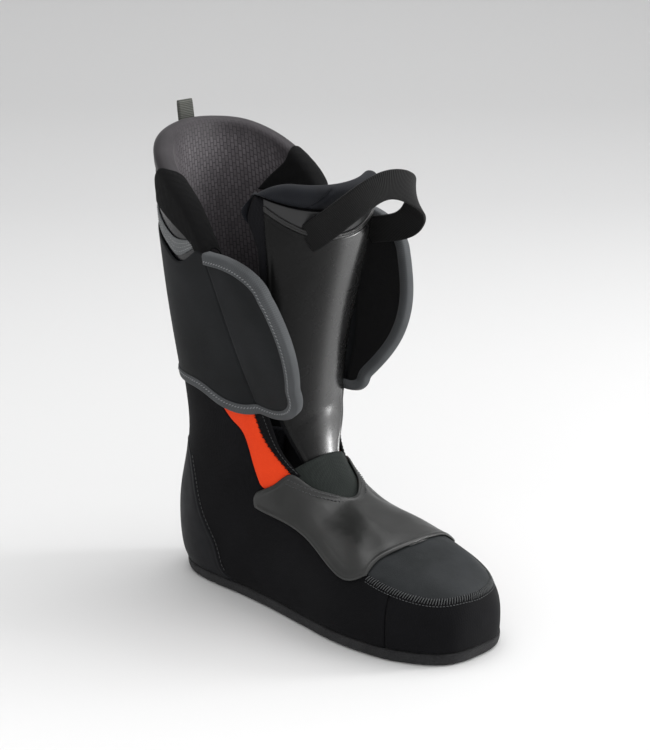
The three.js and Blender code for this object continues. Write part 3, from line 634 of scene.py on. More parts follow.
def stitches(name, line, normals, material, length=2.4, pitch=3.2, radius=0.32, slant=0.0, lift=0.1,
             sides=6, jitter=0.06, seed=1, across=None):
    """A row of separate thread stitches along a line on a surface, each dipping in at both ends.
    Slant turns them across the row; across gives a width for whip stitches that span a seam."""
    rng = np.random.default_rng(seed)
    run = run_of(line)
    count = max(int(run[-1] / pitch), 1)
    at = (np.arange(count) + 0.5) * run[-1] / count
    spots = points_at(at, run, line)
    up = unit(points_at(at, run, normals))
    ahead = unit(points_at(at + 0.4, run, line) - points_at(at - 0.4, run, line))
    beside = np.cross(up, ahead)
    points, faces = [], []
    for k in range(count):
        turn = slant + rng.normal(0, jitter)
        if slant and across is None and k % 2:
            turn = -turn
        lying = ahead[k] * math.cos(turn) + beside[k] * math.sin(turn)
        side_way = np.cross(up[k], lying)
        span = (across or length) / 2 * (1 + rng.normal(0, jitter))
        for x, w in THREAD_PROFILE:
            middle = spots[k] + lying * x * span + up[k] * (lift - radius * 1.3 * x * x)
            for q in range(sides):
                turned = 2 * math.pi * q / sides
                points.append(middle + radius * w * (side_way * math.cos(turned) + up[k] * math.sin(turned)))
        start = k * len(THREAD_PROFILE) * sides
        faces += [[start + corner for corner in face] for face in tube_faces(len(THREAD_PROFILE), sides)]
    return mesh_piece(name, points, faces, None, material)


def seam_row(form, edge, depth, shift=0.0, count=220, start=0.0, end=1.0):
    """A line on a form along an edge, moved sideways in the surface, with its normals."""
    places = along(edge, np.linspace(start, end, count))
    line = form(places[:, 0], places[:, 1], depth)
    normals = unit(form(places[:, 0], places[:, 1], depth + 1.0) - line)
    ahead = unit(np.gradient(line, axis=0))
    return line + np.cross(normals, ahead) * shift, normals


under_toe = [[5.3, 126], [4.2, 130], [2.9, 140], [1.9, 158], [1.6, 180]]
band_low = under_toe + round_back(under_toe[:-1])[::-1]
band_left = [[5.3, 126], [5.2, 88], [5.04, 52.6]]
band_high = [[5.04, 52.6], [4.03, 53.1], [2.5, 44.6], [1.58, 16]]
toe_band = sheet_piece(
    "toe_band", last, patch(band_left, round_back(band_left), band_low, over_back(band_high), round_tip=True),
    170, 46, -2.0, 0.0, black_stretch, roll=1.7, tight=0.3,
    cuts=[floor_cut, ((0, TOE_SEAM - GAP / 2, 0), (0, 1, 0))])
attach(toe_band, "foot")
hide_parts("toe_band")


def cap_relief(a, b, u, v, away, s, t):
    crown = 0.5 * np.sin(np.pi * np.clip(t, 0, 1)) * np.sin(np.pi * s)
    puckers = 0.18 * np.sin(u * 1.9) * np.exp(-away / 2.5)
    return crown + puckers + 0.25 * np.sin(u * 0.09 + 0.8) * np.sin(v * 0.13)


cap_finish = leather_finish("matt_toe_leather", (.015, .017, .018), (.029, .0315, .034), 0.62, pores=1500)
toe_cap = sheet_piece(
    "toe_cap", last, patch([[5.04, 51.6], [5.3, 51.0]], [[5.04, -51.6], [5.3, -51.0]],
                           over_front([[5.04, 51.6], [4.03, 51.8], [2.62, 43.3], [1.75, 16]]),
                           over_front([[5.3, 51], [5.28, 35], [5.15, 16]])),
    120, 60, -2.0, 0.0, cap_finish, roll=1.6, relief=cap_relief, tight=0.5)
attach(toe_cap, "foot")
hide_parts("toe_cap")

dark_thread = thread_finish("dark_thread", (.10, .104, .106))
grey_thread = thread_finish("grey_thread", (.36, .37, .37))
whip_line, whip_up = seam_row(last, over_front(STITCH_LINE), 0.05, count=500)
toe_whip = stitches("toe_whip_stitch", whip_line, whip_up, dark_thread, pitch=1.75, radius=0.42,
                    slant=1.25, across=4.6, lift=0.55, seed=5)
row_line, row_up = seam_row(last, over_front(STITCH_LINE), 0.0, shift=-3.1, count=500)
toe_row = stitches("toe_band_stitch", row_line, row_up, dark_thread, pitch=2.2, length=1.6, radius=0.3,
                   seed=6)
for piece in (toe_whip, toe_row):
    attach(piece, "foot")

# ---- Heel panel -------------------------------------------------------------------------------
# A smooth laminate panel is glued and sewn over the back of the heel, where it rubs in the shell.

heel_finish = leather_finish("heel_laminate", (.003, .0033, .0048), (.0075, .008, .010), 0.55,
                             pores=1700, depth=0.0001)


def heel_relief(a, b, u, v, away, s, t):
    ridge = 0.3 * np.exp(-((away - 3.2) / 1.2) ** 2)
    return 0.25 * np.sin(v * 0.12 + 0.6) * np.clip(away / 10, 0, 1) - ridge * 0.6


heel = sheet_piece(
    "heel_panel", last, patch(HEEL_SEAM, round_back(HEEL_SEAM), top=over_back(HEEL_TOP)),
    120, 90, -1.0, 0.45, heel_finish, roll=1.4, relief=heel_relief, cuts=[floor_cut], tight=0.4)
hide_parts("heel_counter")
bend_at_ankle(heel)
for side, edge, shift in (("lateral", HEEL_SEAM, -2.4), ("medial", inner_side(HEEL_SEAM), 2.4)):
    line, up = seam_row(last, edge, 0.55, shift=shift, start=0.16)
    row = stitches(f"{side}_heel_stitch", line, up, dark_thread, pitch=3.0, length=2.1, radius=0.26, seed=8)
    bend_at_ankle(row)

# ---- Flex inserts and throat strips -----------------------------------------------------------
# A wedge of orange neoprene lets the ankle bend on each side. In front of it a narrow strip binds
# the edge of the throat, overlocked to the orange with short black stitches.

INSERT_REAR = [[9.55, 51.5], [10.25, 57.9], [10.97, 59.4], [12.37, 66.0], [13.1, 77.0], [13.95, 92]]
INSERT_FRONT = [[9.5, 37], [10.12, 39.5], [11.04, 45], [12.18, 53], [12.88, 57], [13.95, 64.5]]
STRIP_FRONT = [[9.4, 32], [9.67, 33.4], [11, 40.5], [12.2, 45.5], [13, 49.5], [13.95, 56]]


def neoprene_finish():
    material, tree, shader = new_finish("orange_neoprene", 0.72, Sheen_Weight=0.04, Sheen_Roughness=0.5)
    knit = grain(tree, 1300, 2)
    clouds = grain(tree, 55, 3)
    tone = mixed(tree, clouds, 0.6, knit)
    tint(tree, shader, tone, [(0.25, (.86, .048, .008)), (0.75, (1.0, .075, .013))])
    bump(tree, shader, knit, 0.00025, 0.6)
    return material


orange = neoprene_finish()
strip_middle = [[(p[0] + q[0]) / 2, p[1] * 0.38 + q[1] * 0.62] for p, q in zip(INSERT_FRONT, STRIP_FRONT)]


def insert_relief(a, b, u, v, away, s, t):
    return 0.5 * np.clip(away / 5, 0, 1) - 0.25


for side, place_on in SIDES.items():
    insert = sheet_piece(f"{side}_flex_insert", last,
                         patch(place_on(INSERT_REAR), place_on([[r, a + 0.5] for r, a in INSERT_FRONT])),
                         36, 90, -2.0, -0.1, orange, roll=1.5, relief=insert_relief)
    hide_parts(f"{side}_flex_insert")
    strip = sheet_piece(f"{side}_throat_strip", last, patch(place_on(INSERT_FRONT), place_on(STRIP_FRONT)),
                        20, 90, -2.0, 0.35, black_stretch, roll=1.8)
    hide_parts(f"{side}_throat_strip")
    turn = 1 if side == "lateral" else -1
    line, up = seam_row(last, place_on(INSERT_FRONT), 0.35, shift=-0.6 * turn, start=0.1, end=0.94)
    lock = stitches(f"{side}_overlock", line, up, thread_finish(f"{side}_black_thread", (.008, .008, .009)),
                    pitch=3.6, radius=0.42, slant=1.15 * turn, across=3.4, lift=0.15, seed=11)
    line, up = seam_row(last, place_on(strip_middle), 0.4, start=0.1, end=0.95)
    row = stitches(f"{side}_strip_stitch", line, up, dark_thread, pitch=2.6, length=2.2, radius=0.22, seed=12)
    for piece in (insert, strip, lock, row):
        bend_at_ankle(piece)

# ---- Gusset in the neck of the throat ---------------------------------------------------------
# A web of stretch cloth closes the bottom of the throat. It is sewn in under the instep leather,
# and its free top edge lies against the tongue.

NECK = [[9.8, 38], [8.7, 30], [7.9, 19], [7.35, 6]]
GUSSET_LOW = [[9.55, 37.5], [8.45, 30.5], [7.65, 19.5], [7.12, 6]]
gusset_cloth = stretch_finish("gusset_stretch", (.013, .016, .015), (.026, .031, .028), 0.8, ribbed=360)


def gusset_relief(a, b, u, v, away, s, t):
    return -0.9 * np.clip(t, 0, 1) ** 2 * np.sin(np.pi * s) + 0.12 * np.sin(u * 0.5) * t


gusset = sheet_piece(
    "throat_gusset", last, patch([[9.55, 37.5], [9.95, 35.2]], [[9.55, -37.5], [9.95, -35.2]],
                                 over_front(GUSSET_LOW), over_front([[9.95, 35.2], [9.86, 18], [9.84, 6]])),
    70, 60, -2.0, -0.1, gusset_cloth, roll=1.6, relief=gusset_relief)
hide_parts("instep_gusset")
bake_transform(gusset)

# ---- Instep overlay ---------------------------------------------------------------------------
# A saddle of smooth synthetic leather covers the instep, folded into soft hollows where it is
# pulled over the last. Two rows of stitching run round the neck, and its lower edge is turned.

OVERLAY_LOW = [[5.04, 51], [5.39, 60], [5.8, 61.5], [6.4, 57], [7.39, 54.5], [8.69, 60.5], [9.8, 66]]
OVERLAY_TOP = [[9.8, 66], [10.2, 61], [9.95, 50]]


def hollow(a, b, ring, angle, long, wide, turn, depth):
    """A soft dent or swelling round one place on the last."""
    middle = last(ring, angle)
    p = last(a, b) - middle
    c, s = math.cos(math.radians(turn)), math.sin(math.radians(turn))
    along_it = p[:, 0] * c + p[:, 1] * s
    over_it = -p[:, 0] * s + p[:, 1] * c
    return depth * np.exp(-(along_it / long) ** 2 - (over_it / wide) ** 2 - (p[:, 2] / 22) ** 2)


def overlay_relief(a, b, u, v, away, s, t):
    folds = (hollow(a, b, 6.6, 26, 26, 9, 64, -1.2) + hollow(a, b, 6.0, 44, 16, 7, 70, -1.1)
             + hollow(a, b, 6.3, 12, 30, 7, 75, 1.1) + hollow(a, b, 5.7, 35, 18, 6, 60, 1.0)
             + hollow(a, b, 5.6, -10, 10, 24, 80, -0.7) + hollow(a, b, 7.2, -30, 24, 9, 110, -1.2))
    ripple = 0.12 * np.sin(u * 0.21 + 0.7 * np.sin(v * 0.13)) * np.sin(v * 0.17 + 1.1)
    turned_edge = 0.35 * np.exp(-((away - 1.8) / 1.3) ** 2)
    return (folds + ripple) * np.clip(away / 9, 0, 1) + turned_edge * (t < 0.97)


smooth_leather = leather_finish("smooth_instep_leather", (.010, .0105, .010), (.021, .022, .021), 0.36,
                                pores=1900, depth=0.00008, Specular_IOR_Level=0.6)
overlay = sheet_piece(
    "instep_overlay", last, patch(OVERLAY_LOW, inner_side(OVERLAY_LOW), over_front(OVERLAY_TOE),
                                  over_front(OVERLAY_TOP + NECK)),
    190, 120, 0.35, 2.2, smooth_leather, roll=1.5, relief=overlay_relief, keep_back=0.5, tight=0.3)
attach(overlay, "foot")
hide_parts("instep_overlay")
neck_line = over_front([[9.95, 41], [9.75, 39.5], [8.7, 30.3], [7.9, 19.2], [7.35, 6]])
for k, shift in enumerate((-2.4, -5.4)):
    line, up = seam_row(last, neck_line, 2.35, shift=shift, count=400, start=0.10, end=0.90)
    row = stitches(f"neck_stitch_{k + 1}", line, up, dark_thread, pitch=2.5, length=1.9, radius=0.34,
                   slant=0.28, seed=20 + k)
    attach(row, "foot")

# ---- Collar -----------------------------------------------------------------------------------
# The collar is faced outside with a glossy laminate. Inside it has a padded honeycomb knit that
# rolls over the rim in one piece, and a plush patch sewn over each front end of the roll.

RIM = over_back([[16.95, 86], [17.35, 91], [17.75, 97], [18.02, 103], [18.45, 120], [18.72, 150]])
ROLL_UP, ROLL_DEEP, ROLL_MIDDLE = 8.5, 6.6, -6.3
ROLL_ARC = math.pi * (ROLL_UP + ROLL_DEEP) / 2
rim_places = along(RIM, np.linspace(0, 1, 600))
rim_run = run_of(last(*rim_places.T))
rim_run /= rim_run[-1]


def under_rim(share, down):
    """A place on the last, at a share along the rim and so many millimetres below it."""
    ring = np.interp(share, rim_run, rim_places[:, 0])
    angle = np.interp(share, rim_run, rim_places[:, 1])
    low_angle = 180 + (angle - 180) * 105 / 94
    reach = np.linalg.norm(last_form(ring, angle) - last_form(np.full_like(ring, 15.0), low_angle), axis=-1)
    part = down / reach
    return ring + (15.0 - ring) * part, angle + (low_angle - angle) * part, reach


def collar_form(share, over):
    """The collar's face: up the outside, over the padded roll and down the inside."""
    share, over = np.broadcast_arrays(np.asarray(share, float), np.asarray(over, float))
    turned = np.clip(over / ROLL_ARC, 0, 1) * math.pi
    depth = ROLL_MIDDLE + ROLL_DEEP * np.cos(turned)
    down = ROLL_UP - ROLL_UP * np.sin(turned) + np.maximum(-over, 0) + np.maximum(over - ROLL_ARC, 0)
    ring, angle, _ = under_rim(share, down)
    return last(ring, angle, depth)


collar = thick(collar_form, -1.0, da=0.004, db=0.4)


def lining_place(s, t):
    _, _, reach = under_rim(s, 0.0)
    return s, -9 + t * (9 + ROLL_ARC + reach - ROLL_UP)


def lining_finish():
    material, tree, shader = new_finish("honeycomb_lining", 0.5, Sheen_Weight=0.12, Sheen_Roughness=0.35)
    place = cloth_place(tree)
    turned = node(tree, "ShaderNodeCombineXYZ", {0: place[1], 1: place[0]}).outputs[0]
    cells = node(tree, "ShaderNodeTexBrick", {
        "Vector": turned, "Color1": (1, 1, 1, 1), "Color2": (.75, .75, .75, 1), "Mortar": (.38, .38, .38, 1),
        "Scale": 1.0, "Mortar Size": 0.00045, "Mortar Smooth": 0.6, "Brick Width": 0.0046,
        "Row Height": 0.0027}).outputs["Color"]
    # The cells fade out toward the rim, and painted shade darkens the knit deeper down inside the collar.
    shown = node(tree, "ShaderNodeMapRange", {0: place[1], 1: 0.018, 2: 0.040}).outputs[0]
    plain = maths(tree, "SUBTRACT", 1.0, shown)
    tone = maths(tree, "ADD", maths(tree, "MULTIPLY", cells, shown), maths(tree, "MULTIPLY", plain, 0.30))
    tone = mixed(tree, grain(tree, 40, 3), 0.25, tone)
    deep = node(tree, "ShaderNodeMapRange", {0: place[1], 1: 0.05, 2: 0.16, 3: 1.0, 4: 0.2}).outputs[0]
    tone = maths(tree, "MULTIPLY", tone, deep)
    tint(tree, shader, tone, [(0.15, (.011, .010, .0115)), (0.55, (.062, .056, .061)),
                              (0.95, (.13, .118, .128))])
    bump(tree, shader, tone, 0.0005, 0.7)
    return material


def plush_finish():
    material, tree, shader = new_finish("black_plush", 1.0, Sheen_Weight=0.015, Sheen_Roughness=0.7)
    pile = grain(tree, 1500, 5, 0.8)
    tint(tree, shader, pile, [(0.3, (.0016, .0016, .0018)), (0.8, (.010, .010, .011))])
    bump(tree, shader, pile, 0.0012)
    return material


def lining_relief(a, b, u, v, away, s, t):
    return 0.35 * np.sin(a * 40 + 1) * np.sin(b * 0.06) * np.clip(away / 15, 0, 1)


lining = sheet_piece("collar_lining", collar, lining_place, 190, 120, -1.6, 0.0, lining_finish(),
                     roll=2.0, relief=lining_relief, tight=0.2)
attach(lining, "cuff")
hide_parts("collar_lining")

plush = plush_finish()
PLUSH = {
    "lateral": dict(left=[[0.004, -9], [0.004, 8], [0.004, ROLL_ARC + 12]],
                    right=[[.30, -36], [.295, -20], [.268, -8], [.235, 4], [.205, 12], [.185, ROLL_ARC],
                           [.14, ROLL_ARC + 6], [.08, ROLL_ARC + 12]]),
    "medial": dict(left=[[.996, -8.5], [.996, 8], [.996, ROLL_ARC + 14]],
                   right=[[.80, -8.5], [.795, 2], [.79, 12], [.77, ROLL_ARC + 6], [.72, ROLL_ARC + 26],
                          [.66, ROLL_ARC + 46]]),
}
for side, edges in PLUSH.items():
    pad = sheet_piece(f"{side}_plush_patch", collar, patch(**edges), 70, 70, 0.15, 1.5, plush, roll=2.6,
                      relief=lambda a, b, u, v, away, s, t: 0.15 * np.sin(u * 0.7) * np.sin(v * 0.6))
    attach(pad, "cuff")
    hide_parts(f"{side}_plush_patch")

CREASE = [[13.14, 54], [14.1, 60.5], [15.15, 68.5], [16.1, 77.5], [16.95, 86]]
cover_front = [[15.2, 71], [16.1, 79], [16.8, 86], [17.0, 90], [17.2, 95]]
cover_top = over_back([[17.2, 95], [17.55, 106], [17.95, 124], [18.12, 150], [18.2, 172]])
gloss_laminate = leather_finish("glossy_collar_laminate", (.0035, .0035, .0045), (.007, .007, .009), 0.28,
                                pores=600, depth=0.00012)
cover = sheet_piece("collar_cover", last, patch(cover_front, round_back(cover_front), top=cover_top),
                    150, 80, -2.0, 0.0, gloss_laminate, roll=1.6, tight=0.3)
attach(cover, "cuff")
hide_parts("collar_cover")
TRIM_LOW = [[17.25, 165], [17.17, 145], [16.88, 119.5], [16.74, 108.5], [16.9, 98.5], [17.02, 93],
            [17.04, 91]]
TRIM_HIGH = [[17.65, 165], [17.5, 145], [17.2, 122], [17.05, 108.5], [17.12, 98], [17.16, 94],
             [17.14, 92]]
trim_finish = stretch_finish("grey_trim_tape", (.10, .106, .11), (.17, .176, .18), 0.6, ribbed=300)
steps = np.linspace(0, 1, 40)
for side, place_on in SIDES.items():
    trim = sheet_piece(f"{side}_trim_band", last, patch(place_on([TRIM_LOW[0], TRIM_HIGH[0]]),
                                                        place_on([TRIM_LOW[-1], TRIM_HIGH[-1]]),
                                                        place_on(TRIM_LOW), place_on(TRIM_HIGH)),
                       110, 12, 0.2, 1.3, trim_finish, roll=1.2)
    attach(trim, "cuff")
    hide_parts(f"{side}_trim_band")
    for k, share in enumerate((0.25, 0.5, 0.75)):
        middle = (1 - share) * along(TRIM_LOW, steps) + share * along(TRIM_HIGH, steps)
        line, up = seam_row(last, place_on(middle.tolist()), 1.4, start=0.03, end=0.97, count=300)
        row = stitches(f"{side}_trim_stitch_{k + 1}", line, up, grey_thread, pitch=2.6, length=2.0,
                       radius=0.3, seed=30 + k)
        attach(row, "cuff")

# ---- Wraps and flaps --------------------------------------------------------------------------
# On each side one soft-shell panel runs from the back seam to the shin and goes on as a free flap.
# The flap is padded and plush inside. Grey tape binds the edge, held by a zigzag of thread.

WRAP_LOW = [[13.14, 54], [13.26, 65.5], [13.7, 86], [14.12, 102.5], [14.34, 119.5], [14.5, 145],
            [14.55, 179.5]]
WRAP_TOP = [[16.95, 86], [16.98, 91], [16.8, 98.5], [16.65, 108.5], [16.8, 119.5], [17.1, 145],
            [17.2, 179.5]]
WRAP_FACE = 2.3
CREASE_GAP = 2.4
HEM, FLAP = 1.75, 6.5
FLAPS = {
    "lateral": dict(reach=[12, 27, 38, 45, 49, 50, 48, 41, 22], flare=-2, lift=0,
                    low=(3, .30), high=(7, .17)),
    "medial": dict(reach=[6, 17, 29, 40, 47, 50, 50, 47, 36], flare=12, lift=16,
                   low=(2, .12), high=(14, .2)),
}
SIGN = {"lateral": -1, "medial": 1}


def flap_reach(side, t):
    """How far the flap stands out from the crease, rounded off at both corners."""
    spec = FLAPS[side]
    full = along([[r] for r in spec["reach"]], t)[..., 0]
    for (least, part), at in ((spec["low"], t), (spec["high"], 1 - t)):
        knee = along([[r] for r in spec["reach"]], part if at is t else 1 - part)[0]
        curve = least + (knee - least) * np.sqrt(np.clip(1 - (1 - np.clip(at / part, 0, 1)) ** 2, 0, 1))
        full = np.where(at < part, curve, full)
    return full


def wrap_form(side):
    sign, spec, place_on = SIGN[side], FLAPS[side], SIDES[side]
    rear = along([WRAP_LOW[-1], WRAP_TOP[-1]], np.linspace(0, 1, 3)).tolist()
    place = patch(place_on(rear), place_on(CREASE), place_on(WRAP_LOW[::-1]), place_on(WRAP_TOP[::-1]))
    lean = math.radians(spec["flare"])
    forward = np.array([sign * math.sin(lean), -math.cos(lean), 0])

    def form(s, t):
        s, t = np.broadcast_arrays(np.asarray(s, float), np.asarray(t, float))
        tt = np.clip(t, 0, 1)
        ring, angle = place(np.clip(s, -1.05, 0) + 1, t)
        wrap = last(ring, angle, WRAP_FACE)
        out = (CREASE_GAP + flap_reach(side, tt)) * np.maximum(s, 0)
        flap = out[..., None] * forward
        flap[..., 2] += spec["lift"] * np.maximum(s, 0) * tt - 0.10 * out * (1 - tt) ** 5
        bow = 2.2 * np.sin(np.pi * np.clip(s, 0, 1)) * np.sin(np.pi * tt)
        flap[..., 0] += sign * bow
        return wrap + flap
    return thick(form, -sign, da=0.012, db=0.012)


def soft_shell_finish():
    material, tree, shader = new_finish("soft_shell_laminate", 0.66, Sheen_Weight=0.02)
    place = cloth_place(tree)
    weave = maths(tree, "MULTIPLY", maths(tree, "SINE", maths(tree, "MULTIPLY", place[0], 5200)),
                  maths(tree, "SINE", maths(tree, "MULTIPLY", place[1], 5200)))
    weave = maths(tree, "MULTIPLY_ADD", weave, 0.5, 0.5)
    clouds = grain(tree, 30, 5)
    tone = mixed(tree, clouds, 0.75, weave)
    tint(tree, shader, tone, [(0.3, (.0045, .0052, .0058)), (0.72, (.011, .0122, .014))])
    bump(tree, shader, weave, 0.0001, 0.6, bump(tree, shader, clouds, 0.001, 0.4))
    return material


def smoothed(line, times):
    """A line of points with its kinks eased, its ends left in place."""
    line = line.copy()
    for _ in range(times):
        line[1:-1] = (line[:-2] + 2 * line[1:-1] + line[2:]) / 4
    return line


def edge_tape(side, form, material):
    """Folded tape round the panel's edge: under the wrap's hem, round the flap and up to the crease."""
    hem = np.stack([np.linspace(-0.985, 0, 150), np.zeros(150)], -1)
    low = np.stack([np.linspace(0, 1, 22)[1:], np.zeros(21)], -1)
    free = np.stack([np.ones(240), spread(242, 0.7)[1:-1]], -1)
    top = np.stack([np.linspace(1, 0.02, 24), np.ones(24)], -1)
    path = np.concatenate([hem, low, free, top])
    run = run_of(form(path[:, 0], path[:, 1], 0.0))
    even = np.linspace(0, run[-1], 420)
    path = points_at(even, run, path)
    edge = smoothed(form(path[:, 0], path[:, 1], 0.0), 6)
    inward = np.clip(path, [-0.95, 0.06], [0.93, 0.94])
    up = unit(smoothed(form(inward[:, 0], inward[:, 1], 1.0) - form(inward[:, 0], inward[:, 1], 0.0), 10))
    out = np.cross(unit(np.gradient(edge, axis=0)), up)
    middle = form(np.clip(path[:, 0], -0.9, 0.6), np.full(len(path), 0.5), 0.0)
    out *= np.sign(np.sum(out * (edge - middle), axis=1, keepdims=True))
    out = unit(smoothed(out, 4))
    # The tape deepens where the padded flap begins, and reaches further in behind it.
    on_flap = np.clip((path[:, 0] + 0.02) / 0.12, 0, 1)[:, None]
    deep = HEM + (FLAP - HEM) * on_flap
    back = 1.2 + 4.3 * on_flap
    section = [(-6.6, .03), (-6.7, .35), (-6.3, .62), (-3.2, .78), (-.6, .72), (.45, .35), (.95, -.5),
               (1.05, -deep / 2), (.95, -deep + .5), (.45, -deep - .25), (-.5, -deep - .5),
               (-back, -deep - .45), (-back, -deep - .03), (-.2, -deep - .02), (.25, -deep / 2), (-.1, 0)]
    rows = np.stack([edge + out * x + up * z for x, z in section], 1)
    n, m = rows.shape[:2]
    faces = tube_faces(n, m)
    if side == "lateral":
        faces = [f[::-1] for f in faces]
    across = np.linspace(0, 26, m)
    uv = np.stack([np.repeat(even, m), np.tile(across, n)], -1)
    tape = mesh_piece(f"{side}_edge_tape", rows.reshape(-1, 3), faces, uv, material)
    return tape, edge, out, up


soft_shell = soft_shell_finish()
tape_finish = stretch_finish("grey_binding_tape", (.050, .053, .056), (.10, .105, .11), 0.75,
                             ribbed=500, sheen=0.06)
light_thread = thread_finish("light_zigzag_thread", (.34, .35, .36))


def panel_place(s, t):
    return -1 + 2 * s, t


def panel_relief(a, b, u, v, away, s, t):
    fold = -0.55 * np.exp(-(a / 0.018) ** 2) * np.clip(np.minimum(b, 1 - b) / 0.05, 0, 1)
    waves = 0.35 * np.sin(v * 0.06 + a * 2.0) * np.sin(a * 5 + 0.4)
    return fold + waves * np.clip(away / 12, 0, 1)


def pad_place(s, t):
    return 0.17 + 0.79 * s, 0.05 + 0.92 * t


for side in SIDES:
    form = wrap_form(side)
    panel = sheet_piece(f"{side}_wrap", form, panel_place, 190, 100, -1.7, 0.0, soft_shell, roll=1.4,
                        relief=panel_relief, keep_back=0.8, tight=0.15)
    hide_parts(f"{side}_wrap_panel")
    tape, edge, out, up = edge_tape(side, form, tape_finish)
    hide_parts(f"{side}_wrap_binding", f"{side}_flap_binding")
    zigzag = stitches(f"{side}_tape_zigzag", edge - out * 4.3 + up * 0.8, up, light_thread, pitch=2.4,
                      radius=0.36, slant=0.62, across=2.5, lift=0.02, seed=41)
    for piece in (panel, tape, zigzag):
        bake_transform(piece)
    pad = sheet_piece(f"{side}_flap_pad", form, pad_place, 60, 90, -6.4, -1.9, plush, roll=3.5, tight=0.45)
    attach(pad, f"{side}_flap")
    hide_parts(f"{side}_flap")

# ---- Tongue -----------------------------------------------------------------------------------
# The tongue is a padded tube of dark cloth with a soft stretch rim. A glossy moulded plate guards
# the shin, and above a double piping lies a panel of satin-faced leather.

TONGUE_RINGS = [9.0, 11, 12.2, 13.35, 14.2, 16, 17, 18, 19.5]
TONGUE_SHAPE = [(12, 3, 3), (20, 5, 5), (27, 8, 9), (32.5, 11, 13), (36, 13, 15), (43, 20, 19), (47, 27, 21),
                (49, 33, 23), (51, 42, 25)]
TONGUE_FOOT, TONGUE_STEP, TONGUE_STEPS = 9.0, 1.5, 7
TONGUE_ARC = math.radians(72)
TONGUE_INSET = 7.0
TONGUE = 9.0
PLATE_SHARE = 0.86
even_rings = TONGUE_FOOT + TONGUE_STEP * np.arange(TONGUE_STEPS + 1)
even_shape = points_at(even_rings, TONGUE_RINGS, np.array(TONGUE_SHAPE))


def tongue_form(s, ring):
    """The tongue's front face: s runs from its outer edge, -1, to its inner edge, 1."""
    s, ring = np.broadcast_arrays(np.asarray(s, float), np.asarray(ring, float))
    shape = curve_through(even_shape, (ring - TONGUE_FOOT) / TONGUE_STEP)
    r = curve_through(LAST, ring)
    inward = unit(np.stack([r[..., 2] - r[..., 0], r[..., 3] - r[..., 1]], -1))
    wraps_back = shape[..., 1] + (shape[..., 2] - shape[..., 1]) * (s + 1) / 2
    set_back = TONGUE_INSET + wraps_back * (1 - np.cos(s * TONGUE_ARC)) / (1 - math.cos(TONGUE_ARC))
    x = shape[..., 0] * np.sin(s * TONGUE_ARC) / math.sin(TONGUE_ARC)
    x = x + 5.0 * np.clip(s, 0, 1) * np.exp(-((ring - 11.7) / 1.5) ** 2)
    forward = r[..., 0] + inward[..., 0] * set_back
    return np.stack([x, -forward, r[..., 1] + inward[..., 1] * set_back], -1)


tongue = thick(tongue_form, 1.0, da=0.012, db=0.03)


def piping_ring(s):
    return 17.65 + 1.1 * s * s


def at_sides(s, start):
    """0 over the middle of the tongue, rising to 1 at its side edges."""
    return np.clip((np.abs(s) - start) / (1 - start), 0, 1)


def rim_ring(s):
    return 18.62 + 0.25 * s * s - 1.1 * at_sides(s, 0.87)


def rim_top(s):
    return 19.45 - 0.25 * s * s - 1.0 * at_sides(s, 0.5) ** 2


def between(low, high, half=1.0, fuller=0.0):
    """Places on the tongue between two lines across it, as far as half its breadth each way."""
    def place(s, t):
        across = half * (2 * s - 1)
        ring = low(across) * (1 - t) + high(across) * t
        return across * (1 + fuller * np.clip((ring - 17.2) / 0.8, 0, 1)), ring
    return place


def plate_finish():
    material, tree, shader = new_finish("moulded_shin_plate", 0.22)
    cells = grain(tree, 900, 2)
    clouds = grain(tree, 22, 3)
    tint(tree, shader, clouds, [(0.3, (.0045, .0045, .0045)), (0.7, (.009, .009, .009))])
    gloss = maths(tree, "MULTIPLY_ADD", grain(tree, 60, 4), 0.16, 0.19)
    tree.links.new(gloss, shader.inputs["Roughness"])
    # The plate is polished in one upright streak beside its middle, where the shell's tongue rubs.
    spot = node(tree, "ShaderNodeSeparateXYZ", {0: node(tree, "ShaderNodeTexCoord").outputs["Object"]})
    aside = maths(tree, "MULTIPLY_ADD", spot.outputs[0], 95.0, -1.15)
    aside = maths(tree, "MULTIPLY", aside, aside)
    streak = maths(tree, "DIVIDE", 0.95, maths(tree, "MULTIPLY_ADD", aside, aside, 1.0))
    tree.links.new(maths(tree, "ADD", streak, 0.13), shader.inputs["Specular IOR Level"])
    bump(tree, shader, cells, 0.00001, 0.5, bump(tree, shader, clouds, 0.0004, 0.3))
    return material


def tongue_pad_relief(a, b, u, v, away, s, t):
    return 0.3 * np.sin(u * 0.25) * np.sin(v * 0.12) * np.clip(away / 8, 0, 1)


tongue_cloth = stretch_finish("tongue_lining", (.004, .004, .005), (.010, .010, .012), 0.9, ribbed=300)
pad = sheet_piece(
    "tongue_pad", tongue, between(lambda s: TONGUE_FOOT + 0 * s, lambda s: rim_ring(s) - 0.02, fuller=0.12),
    90, 110, -TONGUE, 0.0, tongue_cloth, roll=4.2, relief=tongue_pad_relief, tight=0.4, drop=0.92)
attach(pad, "tongue")
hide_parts("tongue_foam")


def plate_relief(a, b, u, v, away, s, t):
    ridge = 0.9 * np.exp(-((a - 0.28) / 0.20) ** 2) * np.clip(t * 1.3, 0, 1)
    valley = -0.8 * np.exp(-((a + 0.25) / 0.28) ** 2) * np.clip(t, 0, 1)
    creases = -0.7 * np.exp(-((v - 42 - 9 * a) / 5.0) ** 2) * (1 - a * a)
    return ridge + valley + creases * np.clip(away / 5, 0, 1) - 0.3 * np.exp(-((away - 3.0) / 1.0) ** 2)


plate_piece = sheet_piece(
    "shin_plate", tongue, between(lambda s: 9.2 + 0 * s, lambda s: piping_ring(s) - 0.03, PLATE_SHARE),
    110, 150, 0.25, 2.2, plate_finish(), roll=1.5, relief=plate_relief, keep_back=0.25, tight=0.3)
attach(plate_piece, "tongue")
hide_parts("tongue_shin_plate")


